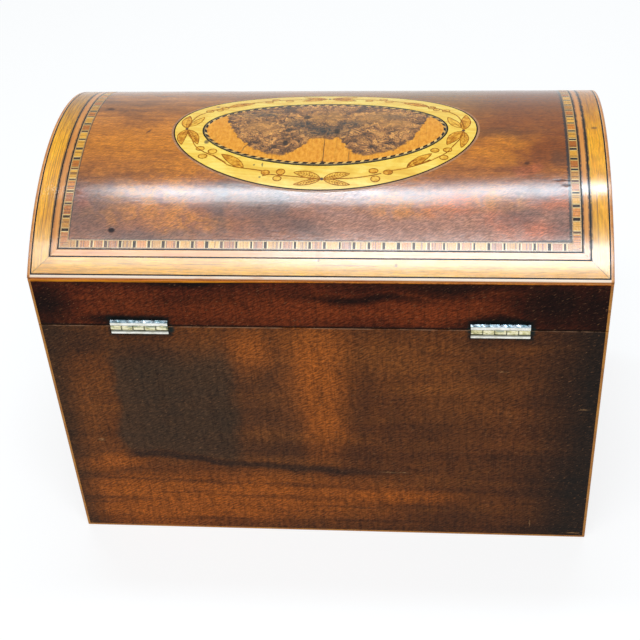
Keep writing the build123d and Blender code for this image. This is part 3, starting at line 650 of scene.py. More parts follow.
def burr_wood():
    """Two mirrored leaves of burr, with plain sapwood round their foot."""
    paint = Paint("burr_panel_wood", specular=0.22)
    place = paint.dome_place()
    mirrored = join(abs(paint.x), split(place)[1], work_out("SIGN", paint.x) * 0.12)
    swirl = warp(mirrored, 0.09, 8, 2)
    swirl = warp(swirl, 0.4, 1.5, 2)
    rings = streaked(swirl, (0.09, 0.17), 2, 0.5, 0.6)
    contours = abs(work_out("SINE", rings * 34))
    along, down, _ = split(mirrored)
    flow = join(rings * 34, along * 0.12, down * 0.16)
    strands = noise(flow, 1, 5, 0.6)
    threads = streaked(swirl, (0.2, 0.4), 5, 0.64, 1)
    patches = streaked(swirl, (0.12, 0.18), 5, 0.65, 0.6, shift=(4, 2, 0))
    tone = patches * 0.36 + threads * 0.14 + strands * 0.5
    ground(
        tone, (0.43, (84, 62, 48)), (0.475, (142, 98, 64)), (0.525, (198, 134, 78)),
        (0.58, (248, 178, 98)),
    )
    lay(between(contours, 0.55, 0.04, 0, 0.68), (62, 50, 42))
    squiggles = streaked(swirl, (0.24, 0.42), 3, 0.5, 1, shift=(2, 8, 0))
    squiggles = abs(squiggles - 0.5)
    lay(between(squiggles, 0.022, 0.006, 0, 0.38), (50, 44, 40))
    pebbles = cell_edges(stretch(swirl, (0.11, 0.2)))
    lay(between(pebbles, 0.06, 0.015, 0, 0.6), (52, 48, 46))
    blue = spots(
        warp(place, 0.3, 5, 3), 0.8, (0, 0.8, 9, 3), (9, -3, 5, 2), (-9, -3.5, 5, 1.6),
        (22, -10, 6, 2), (-22, -8, 6, 2),
    )
    lay(blue * 0.62, (36, 56, 60))
    warm = spots(
        warp(place, 0.25, 5, 3), 0.8, (2.7, -7.9, 3, 3), (-3.2, -8.7, 3.2, 3.4),
        (-2.5, -3.8, 1.8, 1.4), (22, -2, 5, 3), (-16, -7, 6, 3), (-24, -3, 5, 2),
    )
    lay(warm * 0.5, (208, 146, 78))
    sap_grain = streaked(place, (1.1, 0.5), 5, 0.6, 0.2)
    sap = ramp(sap_grain, (0.34, (216, 134, 34)), (0.66, (248, 172, 62)))
    veins = streaked(place, (0.5, 0.02), 3, 0.7)
    sap = gain(sap, veins, 0.56, 0.68, 1, 0.82)
    # The burr's outline, jagged and frayed. A curve node reads its s off x, both as shares from 0 to 1
    half_x, half_s = 42, 20.0
    jag = (noise(place, 0.9, 6, 0.85) - 0.5) * 4.2
    frayed = split(warp(place, 0.55, 5, 5))[0]
    reach = Paint.tree.nodes.new("ShaderNodeFloatCurve")
    put(reach.inputs["Factor"], 1)
    put(reach.inputs["Value"], (frayed + half_x) / (2 * half_x))
    curve = reach.mapping.curves[0]
    border = (
        (-42, -20), (-38.5, -14), (-35.9, -8.9), (-33.3, -1.9), (-30, 5.9), (-26, 10.2), (-22, 12.3),
        (-14.6, 14.3), (-10.8, 13.3), (-8.4, 10.5), (-6.4, 6.5), (-4.8, 4.6), (-2.4, 6.2), (0, 5.2),
        (3.5, 5.4), (6.4, 8.4), (9.6, 12), (13.6, 14.2), (18.8, 13.4), (24, 10.6), (27.4, 7.2),
        (30.4, 3.1), (32.3, -1.3), (33.9, -7.6), (36, -14), (42, -20),
    )
    for x, s in border[1:-1]:
        curve.points.new((x + half_x) / (2 * half_x), (s + half_s) / (2 * half_s))
    curve.points[0].location = (0, 0)
    curve.points[-1].location = (1, 0)
    for point in curve.points:
        point.handle_type = "VECTOR"
    reach.mapping.update()
    limit = Value(reach.outputs[0]) * (2 * half_s) - half_s
    beyond = split(place)[1] - limit + jag
    lay(between(beyond, -0.35, 0.35), sap)
    rim = between(beyond, -2.6, -0.2) * between(beyond, 0.6, 0)
    lay(rim * 0.4, (84, 56, 40))
    joint = between(abs(paint.x + 0.55), 0.22, 0.06) * between(split(place)[1], 4, 9, 0.25, 0.9)
    lay(joint, (60, 36, 20))
    pits = spots(
        warp(place, 0.8, 0.6), 0.4, (6.6, -7.6, 1.2, 1.4), (12.7, 7.9, 0.9, 1.5), (-0.5, 17.5, 0.8, 0.6),
        (-4.4, 1.6, 1, 1.8),
    )
    crack = stroke(warp(place, 0.4, 1.2), (27.4, 12.1), (23.7, 5.6), 0.5)
    pits = most(pits, crack * 0.8)
    crack = stroke(place, (-9.1, 11.7), (-9, 18), 0.34)
    pits = most(pits, crack * 0.6)
    lay(pits * 0.85, (44, 40, 36))
    return finish(rough_by(threads, 0.2, 0.32), threads, 0.012)


def carcase_wood():
    """The boards under the veneer, dusty and without polish."""
    paint = Paint("carcase_board_wood", specular=0.25)
    bands = streaked(paint.place, (0.012, 0.16, 0.16), 6, 0.6, 0.5)
    fibres = streaked(paint.place, (0.12, 1.7, 1.7), 5, 0.65)
    dirt = noise(paint.place, 0.045, 5, 0.6)
    ground(bands, (0.34, (118, 76, 44)), (0.5, (150, 102, 62)), (0.64, (176, 126, 80)))
    lay(between(fibres, 0.5, 0.72, 0, 0.45), (84, 52, 30))
    lay(between(dirt, 0.5, 0.68, 0, 0.5), (70, 50, 36))
    return finish(rough_by(fibres, 0.6, 0.8), fibres, 0.05)


def bone():
    """Old bone, with fine lines that run up and down."""
    paint = Paint("turned_bone", specular=0.5, coat=0.3, coat_roughness=0.2)
    lines = streaked(paint.place, (1.6, 1.6, 0.14), 5, 0.6)
    age = noise(paint.place, 0.28, 5, 0.65)
    ground(age, (0.3, (216, 184, 132)), (0.55, (242, 218, 180)), (0.75, (250, 234, 208)))
    lay(between(lines, 0.58, 0.72, 0, 0.5), (150, 116, 74))
    return finish(rough_by(age, 0.26, 0.4), lines, 0.015)


def foil():
    """Tin-lead foil, dull and softly creased."""
    paint = Paint("tin_lead_foil", metallic=0.85, specular=0.5)
    dull = noise(paint.place, 0.12, 6, 0.65)
    creases = noise(warp(paint.place, 0.08, 10, 3), 0.22, 5, 0.7, 1)
    scratches = streaked(paint.place, (0.4, 3, 2), 4, 0.7)
    ground(dull, (0.3, (112, 110, 106)), (0.6, (158, 157, 152)), (0.78, (176, 174, 168)))
    lay(between(creases, 0.55, 0.72, 0, 0.5), (84, 78, 70))
    return finish(rough_by(dull, 0.34, 0.58), creases + scratches * 0.2, 0.2)


def hinge_metal():
    """Silvered plating with grime. Cream on the knuckles is a painted highlight, green and olive in the
    corners between bar and knuckles are painted shade, and blue-grey on the top is a painted reflection.
    """
    paint = Paint("silvered_hinge_plating", metallic=1.0)
    rise = paint.z - PIN_Z
    out = paint.y - PIN_Y
    radius = vector("LENGTH", join(0, out, rise))
    level = abs(rise)
    patches = streaked(paint.place, (0.5, 1.4, 1.4), 5, 0.7)
    ground(patches, (0.34, (206, 204, 186)), (0.6, (250, 250, 244)))
    on_knuckle = between(radius, 1.3, 1.22)
    # Painted highlight: cream over the knuckles
    knuckle_highlight = ramp(patches, (0.36, (150, 146, 96)), (0.46, (214, 208, 158)), (0.6, (246, 240, 208)))
    lay(on_knuckle, knuckle_highlight)
    # Painted shade: green over the knuckles' tops, under the upper bar
    knuckle_shade = on_knuckle * between(streaked(paint.place, (0.34, 1), 4, 0.6), 0.48, 0.58)
    knuckle_shade = knuckle_shade * between(rise, 0.2, 0.8)
    lay(knuckle_shade * 0.75, (96, 124, 116))
    # Painted shade: dark olive in the corners beside the knuckles
    corner_shade = between(radius, 1.22, 1.3) * between(level, 1.62, 1.3) * between(out, 1.15, 0.95)
    corner_shade = corner_shade * between(out, -1.4, -0.6, 0.25, 1)
    lay(corner_shade * 0.9, (52, 56, 30))
    lip = between(level, 1.55, 1.3) * between(out, 1, 1.12) * between(radius, 1.24, 1.3)
    lay(lip * 0.75, (70, 78, 66))
    # Painted reflection: blue-grey over the top face
    top = between(rise, 2.2, 2.46)
    blue = ramp(patches, (0.38, (64, 92, 98)), (0.5, (136, 160, 174)), (0.62, (206, 222, 232)))
    lay(top, blue)
    step = work_out("FRACT", (paint.x + HINGE_REACH) / KNUCKLE_LENGTH)
    step = least(step, 1.0 - step)
    joint = between(step, 0.075, 0.02) * on_knuckle
    lay(joint * 0.8, (40, 44, 28))
    grime = between(noise(paint.place, 1.4, 5, 0.75), 0.58, 0.72, 0, 0.5)
    lay(grime, (110, 108, 78))
    scratches = streaked(paint.place, (0.5, 5, 5), 4, 0.7)
    return finish(rough_by(patches, 0.26, 0.1), scratches, 0.006)


def metal(name, dark, light, tarnish, share):
    """Old metal with tarnish in patches and fine scratches."""
    paint = Paint(name, metallic=1.0, specular=0.5)
    patches = noise(paint.place, 0.55, 6, 0.68)
    scratches = streaked(paint.place, (0.7, 6, 6), 4, 0.7)
    ground(patches, (0.32, dark), (0.62, light))
    grime = between(noise(paint.place, 1.1, 6, 0.75), 0.5, 0.66) * share
    lay(grime, tarnish)
    rough = rough_by(patches, 0.4, 0.24) + grime * 0.3
    return finish(rough, scratches + patches, 0.02)


# The nodes that each material is for
hinge_plating = hinge_metal()
wearing = {
    dome_field_wood(): "dome_field",
    side_wood("case_back_mahogany", "x", (84, 44, 20), (118, 64, 27), (148, 84, 34), 1.0, "case"):
        "back_veneer",
    side_wood("lid_back_mahogany", "x", (52, 20, 10), (94, 38, 18), (132, 58, 24), 7.0, "lid"):
        "lid_back_veneer",
    side_wood("front_mahogany", "x", (66, 32, 16), (106, 55, 26), (156, 86, 36), 13.0):
        "front_veneer lid_front_veneer",
    side_wood("end_mahogany", "y", (66, 32, 16), (106, 55, 26), (154, 84, 35), 21.0):
        "left_veneer right_veneer lid_left_veneer lid_right_veneer",
    side_wood("inner_lid_mahogany", "plan", (70, 34, 18), (112, 58, 28), (158, 88, 40), 31.0):
        "inner_lid_left inner_lid_right",
    side_wood("rim_facing_mahogany", "rim", (72, 36, 20), (112, 60, 30), (150, 86, 42), 43.0):
        "rim_facings",
    banding_wood("satinwood_crossband", (220, 138, 10), (255, 184, 30), (146, 84, 14), True):
        "satinwood_band",
    banding_wood("pinkish_boxwood_band", (202, 120, 44), (230, 154, 70), (166, 94, 40), False):
        "boxwood_band",
    arris_wood(): "arris_strings",
    line_wood("boxwood_string", (176, 102, 28), (226, 152, 54), (120, 66, 26)):
        "corner_strings base_strings lid_corner_strings",
    line_wood("ebony_line_wood", (10, 9, 8), (26, 22, 19), (62, 48, 34), 0.2):
        "ebony_line_outer ebony_line_middle ebony_line_inner",
    line_wood("oval_ebony_line_wood", (10, 9, 8), (26, 22, 18), (60, 44, 26), 0.06):
        "oval_ebony_line panel_ebony_line",
    line_wood("tulipwood_line_wood", (138, 90, 58), (192, 140, 98), (86, 54, 34), 0.22):
        "oval_tulipwood_line",
    line_wood("holly_line_wood", (92, 80, 58), (146, 128, 92), (60, 50, 34), 0.1):
        "panel_white_line",
    holly_wood(): "oval_border",
    burr_wood(): "burr_panel",
    carcase_wood():
        "bottom_board front_board back_board left_board right_board partition compartment_ledges "
        "lid_front_rail lid_back_rail lid_left_end lid_right_end dome_board",
    bone(): "escutcheon knob_left knob_right",
    foil(): "foil_linings",
    metal("old_lock_brass", (120, 92, 46), (186, 148, 82), (62, 50, 30), 0.6):
        "lock_plate lock_cap lock_bolt key_pin lock_screws link_plate link_staple link_screws",
    metal("blued_spring_steel", (62, 64, 72), (104, 106, 112), (70, 50, 36), 0.5):
        "lock_spring",
    hinge_plating: "hinge_case_leaves hinge_lid_leaves hinge_pins hinge_case_screws hinge_lid_screws",
}
for material, names in wearing.items():
    for name in names.split():
        for slot in nodes[name].material_slots:
            slot.material = material


def added(name, data):
    """A new object in the scene."""
    piece = bpy.data.objects.new(name, data)
    bpy.context.scene.collection.objects.link(piece)
    return piece


def lid_piece(mesh):
    """A piece that swings with the lid."""
    piece = added(mesh.name, mesh)
    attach(piece, "lid")
    return piece


# How deep inlaid pieces go, how far the vine's stand above the dome, and which of its woods is which
CHIP_DEPTH = 0.4
VINE_DEPTH = 0.1
FILL_TOP = 0.012
LINE_TOP = 0.02
KNOT_TOP = 0.026
LEAF, LINE, DARK, PALE = range(4)


class Inlay:
    """Thin pieces let into the dome, gathered in one mesh. Places are (x, s), as dome_place gives them."""

    def __init__(self, name, materials):
        self.name, self.materials = name, materials
        self.points, self.faces, self.kinds, self.tops = [], [], [], []

    def sheet(self, grid, kind, top=0.0, depth=CHIP_DEPTH):
        """A closed thin piece over a grid of places, its face at a height above the dome."""
        rows, columns = len(grid), len(grid[0])
        base = len(self.points)
        for radius in (DOME_RADIUS + top, DOME_RADIUS + top - depth):
            for row in grid:
                for x, s in row:
                    y, z = radius * sin(s / DOME_RADIUS), DOME_CENTRE + radius * cos(s / DOME_RADIUS)
                    self.points.append((x * MM, y * MM, z * MM))

        def corner(r, c, layer=0):
            return base + (layer * rows + r) * columns + c

        (x0, s0), (x1, s1), (x2, s2) = grid[0][0], grid[0][-1], grid[-1][0]
        flip = (x1 - x0) * (s2 - s0) - (s1 - s0) * (x2 - x0) < 0

        def face(points, is_top):
            self.faces.append(points[::-1] if flip else points)
            self.kinds.append(kind)
            self.tops.append(is_top)

        for r in range(rows - 1):
            for c in range(columns - 1):
                square = [(r, c), (r, c + 1), (r + 1, c + 1), (r + 1, c)]
                face([corner(*place) for place in square], True)
                face([corner(*square[i], 1) for i in (0, 3, 2, 1)], False)
        around = [(0, c) for c in range(columns)] + [(r, columns - 1) for r in range(1, rows)]
        around += [(rows - 1, c) for c in range(columns - 2, -1, -1)]
        around += [(r, 0) for r in range(rows - 2, 0, -1)]
        for one, other in zip(around, around[1:] + around[:1]):
            face([corner(*one), corner(*one, 1), corner(*other, 1), corner(*other)], False)

    def ribbon(self, path, width, taper=0.0):
        """One of the vine's lines along a path, narrower at its end by the share taper."""
        grid = []
        for i, (x, s) in enumerate(path):
            (x1, s1), (x2, s2) = path[max(i - 1, 0)], path[min(i + 1, len(path) - 1)]
            length = hypot(x2 - x1, s2 - s1) or 1.0
            half = width / 2 * (1 - taper * i / (len(path) - 1))
            dx, ds = (x2 - x1) / length * half, (s2 - s1) / length * half
            grid.append([(x - ds, s + dx), (x + ds, s - dx)])
        self.sheet(grid, LINE, LINE_TOP, VINE_DEPTH)

    def build(self):
        """All the pieces as one object. Their faces are shaded as round as the dome."""
        mesh = bpy.data.meshes.new(self.name)
        mesh.from_pydata(self.points, [], self.faces)
        for material in self.materials:
            mesh.materials.append(material)
        mesh.polygons.foreach_set("material_index", self.kinds)
        mesh.polygons.foreach_set("use_smooth", [True] * len(self.faces))
        mesh.update()
        normals = []
        for polygon, is_top in zip(mesh.polygons, self.tops):
            for index in polygon.vertices:
                _, y, z = self.points[index]
                outward = Vector((0, y, z - DOME_CENTRE * MM)).normalized()
                normals.append(outward if is_top else polygon.normal)
        mesh.normals_split_custom_set(normals)
        return lid_piece(mesh)


# Chequered band: black bars between pale lines, then blocks of two colours, on the dome's four sides
chips = {
    "black": chip_wood("chequer_black", (14, 11, 10), (74, 54, 36), (20, 16, 12), 0.0, 0.35),
    "brown": chip_wood("chequer_brown", (66, 40, 22), (122, 78, 40), (40, 26, 16), 0.5, 0.5),
    "pale": chip_wood("chequer_pale_line", (206, 164, 84), (242, 208, 132), (150, 110, 60), 0.3, 0.95),
    "yellow": chip_wood("chequer_yellow_block", (190, 124, 30), (238, 174, 62), (96, 56, 22), 0.75, 0.8),
    "orange": chip_wood("chequer_orange_block", (170, 92, 18), (224, 136, 36), (84, 42, 18), 0.75, 0.8),
    "edge": chip_wood("chequer_edge_line", (146, 104, 52), (198, 152, 88), (84, 60, 34), 0.6, 0.95),
}
band = Inlay("chequer_band_blocks", list(chips.values()))
kinds = {name: index for index, name in enumerate(chips)}
chance = random.Random(1790)
EDGE_LINE = 0.35
UNIT = 4.8
BAR = 0.75
PALE_LINE = 0.35
NARROW_KINDS = ("black", "brown", "pale")


def run_place(run, along, inset):
    """The (x, s) of a point on one of the band's four sides, stopped at its mitre."""
    side, end = run
    limit = (HALF_ARC if side else HALF_WIDTH) - inset
    along = max(-limit, min(limit, along))
    return (side * (HALF_WIDTH - inset), along) if side else (along, end * (HALF_ARC - inset))


def run_strip(run, start, stop, outer, inner, kind):
    """One chip of the band, from start to stop along a side."""
    steps = max(1, round((stop - start) / 2.0))
    grid = []
    for i in range(steps + 1):
        along = start + (stop - start) * i / steps
        grid.append([run_place(run, along, outer), run_place(run, along, inner)])
    band.sheet(grid, kinds[kind])


for run in ((1, 0), (-1, 0), (0, 1), (0, -1)):
    half_length = (HALF_ARC if run[0] else HALF_WIDTH) - CHEQUER_OUTER_INSET
    outer_line = CHEQUER_OUTER_INSET + EDGE_LINE
    inner_line = CHEQUER_INNER_INSET - EDGE_LINE
    run_strip(run, -half_length, half_length, CHEQUER_OUTER_INSET, outer_line, "edge")
    run_strip(run, -half_length, half_length, inner_line, CHEQUER_INNER_INSET, "edge")
    clear = half_length - (CHEQUER_INNER_INSET - CHEQUER_OUTER_INSET)
    count = int(half_length // UNIT) + 2
    cuts = []
    for index in range(-count, count):
        start = index * UNIT + (0.9 if run[0] else 1.6)
        end = start + BAR * chance.uniform(0.7, 1.5)
        dark = "black" if chance.random() < 0.72 else "brown"
        block = "yellow" if (index + (run[0] or run[1])) % 2 else "orange"
        if chance.random() < 0.12:
            block = "orange" if block == "yellow" else "yellow"
        cuts += [(start, dark), (end, "pale"), (end + PALE_LINE, block), (start + UNIT - PALE_LINE, "pale")]
    kept = [cut for cut in cuts if -clear < cut[0] < clear]
    first = [cut for cut in cuts if cut[0] <= -clear][-1][1]
    kept = [(-half_length, "orange" if first in NARROW_KINDS else first)] + kept
    if kept[-1][1] in NARROW_KINDS:
        kept.pop()
    ends = [cut[0] for cut in kept[1:]] + [half_length]
    for (low, kind), high in zip(kept, ends):
        run_strip(run, low, high, outer_line, inner_line, kind)
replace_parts(band.build(), "chequer_band")

# Chequered string round the panel: slanted black and pale chips
string_black = chip_wood("string_black_chip", (12, 10, 9), (40, 28, 20), (20, 16, 12), 0.0, 0.2)
string_pale = chip_wood("string_pale_chip", (214, 158, 74), (244, 200, 112), (112, 66, 30), 0.0, 0.3)
string = Inlay("panel_string_chips", [string_black, string_pale])
STRING_PITCH = 3.0
STRING_BLACK = 0.6
STRING_SLANT = 0.8


def oval_place(axes, turn):
    """The (x, s) of a point on an oval that is drawn in plan."""
    x, y = axes[0] * cos(turn), axes[1] * sin(turn)
    return x, DOME_RADIUS * atan2(y, sqrt(DOME_RADIUS**2 - y**2))


turns = [2 * pi * i / 1440 for i in range(1441)]
ring = [oval_place(STRING_OUTER, turn) for turn in turns]
lengths = [0.0]
for (x1, s1), (x2, s2) in zip(ring, ring[1:]):
    lengths.append(lengths[-1] + hypot(x2 - x1, s2 - s1))
chip_count = round(lengths[-1] / STRING_PITCH)
pitch = lengths[-1] / chip_count


def string_place(length, share):
    """A point on the string, a share of the way from its outer edge to its inner."""
    turn = float(np.interp(length % lengths[-1], lengths, turns))
    axes = [o + (i - o) * share for o, i in zip(STRING_OUTER, STRING_INNER)]
    return oval_place(axes, turn)


for index in range(chip_count):
    start = index * pitch
    middle = start + pitch * STRING_BLACK
    for low, high, kind in ((start, middle, 0), (middle, start + pitch, 1)):
        grid = []
        for step in range(3):
            length = low + (high - low) * step / 2
            grid.append([string_place(length, 0), string_place(length + STRING_SLANT, 1)])
        string.sheet(grid, kind)
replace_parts(string.build(), "panel_chequer_string")

# Vine on the medallion's border: leaves, stems and berries, shaded with hot sand
vine = Inlay("medallion_vine", [
    vine_wood("vine_leaf_wood", (216, 142, 30), (250, 190, 70), (176, 100, 8), 0.75),
    vine_wood("vine_line_wood", (128, 72, 4), (206, 128, 30), (110, 58, 4), 0.6, 0.1),
    chip_wood("vine_knot_wood", (62, 38, 20), (96, 60, 32), (50, 36, 24), 0.0, 0.3),
    vine_wood("vine_pale_wood", (238, 176, 56), (252, 206, 86), (196, 124, 24), 0.6),
])
LINE_WIDTH = 0.3
POINTED = 0.85


def curve_value(t, a, b, c, d):
    """A share t of the way from b to c, on a smooth curve that comes from a and goes on to d."""
    return 0.5 * (2 * b + (c - a) * t + (2 * a - 5 * b + 4 * c - d) * t**2 + (3 * b - a - 3 * c + d) * t**3)


def smooth_path(points, steps=5):
    """A smooth curve through points, as a longer list of them."""
    path = []
    padded = [points[0], *points, points[-1]]
    for corners in zip(padded, padded[1:], padded[2:], padded[3:]):
        for step in range(steps):
            path.append(tuple(curve_value(step / steps, *parts) for parts in zip(*corners)))
    return path + [points[-1]]


def leaf(base, tip, width, bend=0.0, hatched=False, fill=LEAF):
    """A pointed leaf from base to tip. bend bows it to one side."""
    (x0, s0), (x1, s1) = base, tip
    length = hypot(x1 - x0, s1 - s0)
    ux, us = (x1 - x0) / length, (s1 - s0) / length
    rows = []
    for i in range(11):
        t = i / 10
        half = width / 2 * sin(pi * t**0.85) ** 0.8 if 0 < t < 1 else 0.02
        row = []
        for j in range(5):
            across = bend * sin(pi * t) + half * (j - 2) / 2
            row.append((x0 + ux * length * t - us * across, s0 + us * length * t + ux * across))
        rows.append(row)
    vine.sheet(rows, fill, FILL_TOP, VINE_DEPTH)
    for edge in (0, 4):
        vine.ribbon([row[edge] for row in rows], LINE_WIDTH)
    vine.ribbon([row[2] for row in rows[:9]], LINE_WIDTH * 0.8, POINTED)
    if hatched:
        for i in range(2, 9):
            for edge in (0, 4):
                vine.ribbon([rows[i][2], rows[i + 1][edge]], LINE_WIDTH * 0.7, POINTED)


def disc(x, s, radius_x, radius_s, count):
    """Rows of places that fill a circle or an oval."""
    shares = [2 * i / (count - 1) - 1 for i in range(count)]
    return [
        [(x + radius_x * u * sqrt(1 - v * v / 2), s + radius_s * v * sqrt(1 - u * u / 2)) for v in shares]
        for u in shares
    ]


def berry(x, s, radius_x=1.4, radius_s=1.0, fill=PALE):
    """A round berry with a dark rim."""
    vine.sheet(disc(x, s, radius_x, radius_s, 7), fill, FILL_TOP, VINE_DEPTH)
    turns = [2 * pi * i / 18 for i in range(19)]
    rim = [(x + radius_x * cos(turn), s + radius_s * sin(turn)) for turn in turns]
    vine.ribbon(rim, LINE_WIDTH * 1.15)


def stem(points, width=LINE_WIDTH * 1.3):
    vine.ribbon(smooth_path(points), width)


def knot(x, s, radius=0.6):
    """The tie of a spray."""
    vine.sheet(disc(x, s, radius, radius, 4), DARK, KNOT_TOP, VINE_DEPTH)


# Right of the photograph is -X. The two ends and the foot of the border each have a tied spray.
knot(47.7, 0, 0.55)
leaf((47.8, -0.5), (48, -8.8), 3.4, 0.5)
leaf((47.2, -1.6), (42.6, -7.8), 2.5, -0.3, fill=PALE)
leaf((47.6, 0.3), (48.4, 8.9), 3, -0.9)
leaf((47.1, 0.5), (42.8, 8.7), 2.9, 0.5, hatched=True)
stem([(47.4, 0.3), (45.4, 5.2), (43.3, 9.8), (39.7, 12.9), (36, 14.9), (31.4, 18.7)])
berry(41.6, 10.9)
berry(37.2, 12.3, 1.5, 1.1)
berry(40.3, 14.7, 1.5, 1)
leaf((25.9, 20.2), (33.9, 13.8), 3.2, -0.3)
stem([(37, 14.2), (34.6, 16), (32.2, 17.8)], LINE_WIDTH * 2)
stem([(31.4, 18.7), (28.6, 19.7), (25.9, 20.2), (22.6, 20.7), (19.6, 21.3)])
berry(18.3, 22.1, fill=LEAF)
berry(13.2, 21.8, 1.4, 1.2, LEAF)
berry(14.2, 24.6)
stem([(19.3, 23.5), (16.6, 22.9), (14.3, 23.2), (9.3, 23.7), (4.2, 24.3), (0, 24.8)])
knot(-0.7, 24.8)
leaf((-0.2, 24.5), (8.8, 22), 2.8, -0.3, True, PALE)
leaf((-0.2, 25), (8.6, 27.1), 1.9, 0.2, True, PALE)
leaf((-1.4, 24.5), (-9.9, 22.6), 2.6, 0.3, True, PALE)
leaf((-1.4, 25.1), (-10.1, 27.1), 2, -0.2, True, PALE)
stem([(-1.2, 24.9), (-5.9, 24.7), (-11.6, 24.3), (-16, 23.5), (-20.3, 22.4)])
berry(-22.5, 21.9, 1.5, 1, LEAF)
berry(-17.7, 21.3, 1.5, 1, LEAF)
berry(-18.4, 24.7, 1.5, 1.2)
stem([
    (-23.6, 21.3), (-25, 20.9), (-29, 19.9), (-34.3, 17.8), (-38.3, 15.5), (-41.7, 12.9),
    (-43.9, 9.6), (-46.6, 4.9), (-47.2, 1.4),
])
stem([(-28.8, 19.9), (-29.3, 18.2), (-30.6, 16.7), (-31.9, 16.4)], LINE_WIDTH * 1.8)
leaf((-29.4, 19.4), (-36.8, 13.4), 2.8, 0.2)
stem([(-36.4, 16.3), (-34, 17.6), (-31.2, 18.6)], LINE_WIDTH * 1.6)
berry(-42, 11.6)
berry(-40.8, 15.2)
berry(-37.8, 11.8)
knot(-47.3, 1.2)
leaf((-47.4, 0.6), (-48.2, -9), 3.4, -0.3)
leaf((-46.6, -0.6), (-42, -7.6), 2.9, 0.4, fill=PALE)
leaf((-46.7, 1.6), (-41.8, 8.9), 3.6, -0.3)
leaf((-47.4, 1.9), (-46.6, 10.4), 2.8, 0.6, hatched=True)
OUTER_STEM = (47.4, -0.6), (46.9, -4), (45.2, -8.6), (42.6, -11.4), (39.6, -13.8), (36.8, -15.5)
INNER_STEM = (36.4, -15.6), (30, -19.2), (22.6, -22), (15, -23.8), (6, -24.8), (0, -25)
for sign in (1, -1):
    stem([(sign * x, s) for x, s in OUTER_STEM])
    berry(sign * 41.4, -12.6, 1.3, 0.9)
    berry(sign * 38, -13.6, 1.1, 0.8)
    berry(sign * 36.4, -15.4, 1.3, 1)
    leaf((sign * 35.2, -16.2), (sign * 26.4, -19.9), 2.8, sign * 0.4)
    stem([(sign * x, s) for x, s in INNER_STEM])
    berry(sign * 21.4, -21.6, 1.4, 0.9)
    berry(sign * 19.2, -23.8, 1.4, 0.9)
    leaf((sign * 1, -24.8), (sign * 9.6, -22.6), 2.4)
    leaf((sign * 1, -25.2), (sign * 9.6, -27), 1.9)
    berry(sign * 14.2, -22.6, 1.3, 0.9)
knot(0, -25)
vine.build()

# Sloped top edge of each lid-side hinge bar, over the leaf that is let into the wood
BAR_FACE = 57.55
BAR_TOP = 106.0
BEVEL_TOP = 106.38
BEVEL_COLUMNS = 24


def hinge_bevels():
    """Both edges in one mesh, a little uneven from wear."""
    section = (
        (BAR_FACE - 0.28, BAR_TOP - 0.02), (BAR_FACE - 0.3, BAR_TOP + 0.02), (56.5, BEVEL_TOP),
        (56.0, BEVEL_TOP), (56.0, BAR_TOP - 0.02),
    )
    count = len(section)
    points, faces = [], []
    for middle in (-HINGE_MIDDLE, HINGE_MIDDLE):
        base = len(points)
        for i in range(BEVEL_COLUMNS + 1):
            x = middle - HINGE_LENGTH / 2 + HINGE_LENGTH * i / BEVEL_COLUMNS
            worn = 0.05 * sin(i * 2.3 + middle) + 0.04 * sin(i * 5.1)
            for y, z in section:
                lift = worn if z == BEVEL_TOP else 0.0
                points.append((x * MM, y * MM, (z + lift) * MM))
        for i in range(BEVEL_COLUMNS):
            low, high = base + i * count, base + (i + 1) * count
            for j in range(count):
                k = (j + 1) % count
                faces.append([low + j, high + j, high + k, low + k])
        faces.append([base + j for j in range(count)])
        faces.append([base + BEVEL_COLUMNS * count + j for j in reversed(range(count))])
    mesh = bpy.data.meshes.new("hinge_lid_bevels")
    mesh.from_pydata(points, [], faces)
    mesh.materials.append(hinge_plating)
    lid_piece(mesh)


hinge_bevels()


# Floor, lamps and camera
def in_view():
    """1 for what the camera sees, straight, in a gloss or through glass, and 0 for what only gives light."""
    ways = ("Is Camera Ray", "Is Glossy Ray", "Is Transmission Ray")
    straight, in_gloss, through_glass = (value_of("ShaderNodeLightPath", way) for way in ways)
    return most(most(straight, in_gloss), through_glass)


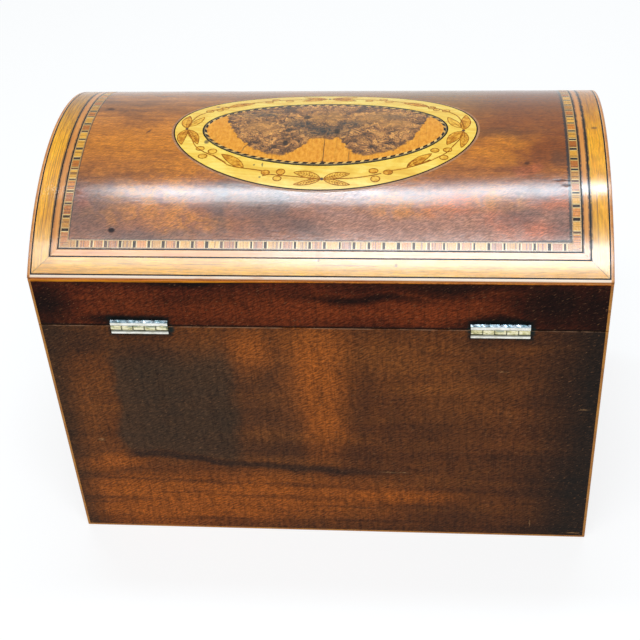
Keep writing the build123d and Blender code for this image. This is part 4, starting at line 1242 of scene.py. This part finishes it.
def floor():
    """A wide disc, grey to the box, and glowing white where it is in view."""
    reach = 3.0
    mesh = bpy.data.meshes.new("floor")
    rim = [(reach * cos(2 * pi * i / 64), reach * sin(2 * pi * i / 64), -0.0002) for i in range(64)]
    mesh.from_pydata(rim, [], [list(range(64))])
    added("floor", mesh)
    paint = Paint("pale_floor", specular=0.0)
    seen = in_view()
    glow = seen * between(vector("LENGTH", paint.place), 500, 2200, 0.76, 0.95, "LINEAR")
    set_surface("Emission Color", (1, 1, 1, 1))
    set_surface("Emission Strength", glow)
    Paint.colour = 0.88 - seen * 0.58
    mesh.materials.append(finish(0.9))


def world():
    """White where it is in view, and dim where it only lights the box."""
    studio = bpy.data.worlds.new("studio")
    bpy.context.scene.world = studio
    studio.use_nodes = True
    Paint.tree = studio.node_tree
    background = Paint.tree.nodes["Background"]
    background.inputs["Color"].default_value = (1, 1, 1, 1)
    put(background.inputs["Strength"], in_view() * 0.81 + 0.19)


AIM_HEIGHT = 0.12


def lamp(name, place, size, radiance, colour, turn=0.0):
    """A soft lamp, long in X before its turn, that faces the dome below it."""
    light = bpy.data.lights.new(name, "AREA")
    light.shape = "RECTANGLE"
    light.size, light.size_y = size
    light.energy = radiance * pi * size[0] * size[1]
    light.color = colour
    piece = added(name, light)
    piece.location = place
    piece.rotation_euler = (atan2(place[2] - AIM_HEIGHT, place[1]) - pi / 2, 0, radians(turn))
    piece.visible_camera = False


floor()
world()
lamp("strip_behind", (0.135, -0.187, 1.09), (0.35, 0.085), 28.5, (0.77, 0.91, 1.0), -4.0)
lamp("strip_behind_end", (-0.15, -0.238, 1.09), (0.22, 0.08), 29.0, (0.75, 0.9, 1.0), 18.0)
lamp("strip_before", (-0.085, 0.36, 1.03), (0.45, 0.23), 13.6, (0.9, 0.95, 1.0))
lamp("strip_beside", (0.275, 0.37, 1.03), (0.27, 0.22), 7.0, (1.0, 0.98, 0.95))

camera_data = bpy.data.cameras.new("camera")
camera_data.lens = 76.347
camera_data.sensor_width = 36.0
camera = added("camera", camera_data)
camera.location = (-0.04177885, 0.39049191, 0.40152603)
camera.rotation_euler = Euler([radians(a) for a in (48.784841, 2.948288, -175.596)], "XYZ")
bpy.context.scene.camera = camera
bpy.context.scene.view_settings.view_transform = "Standard"
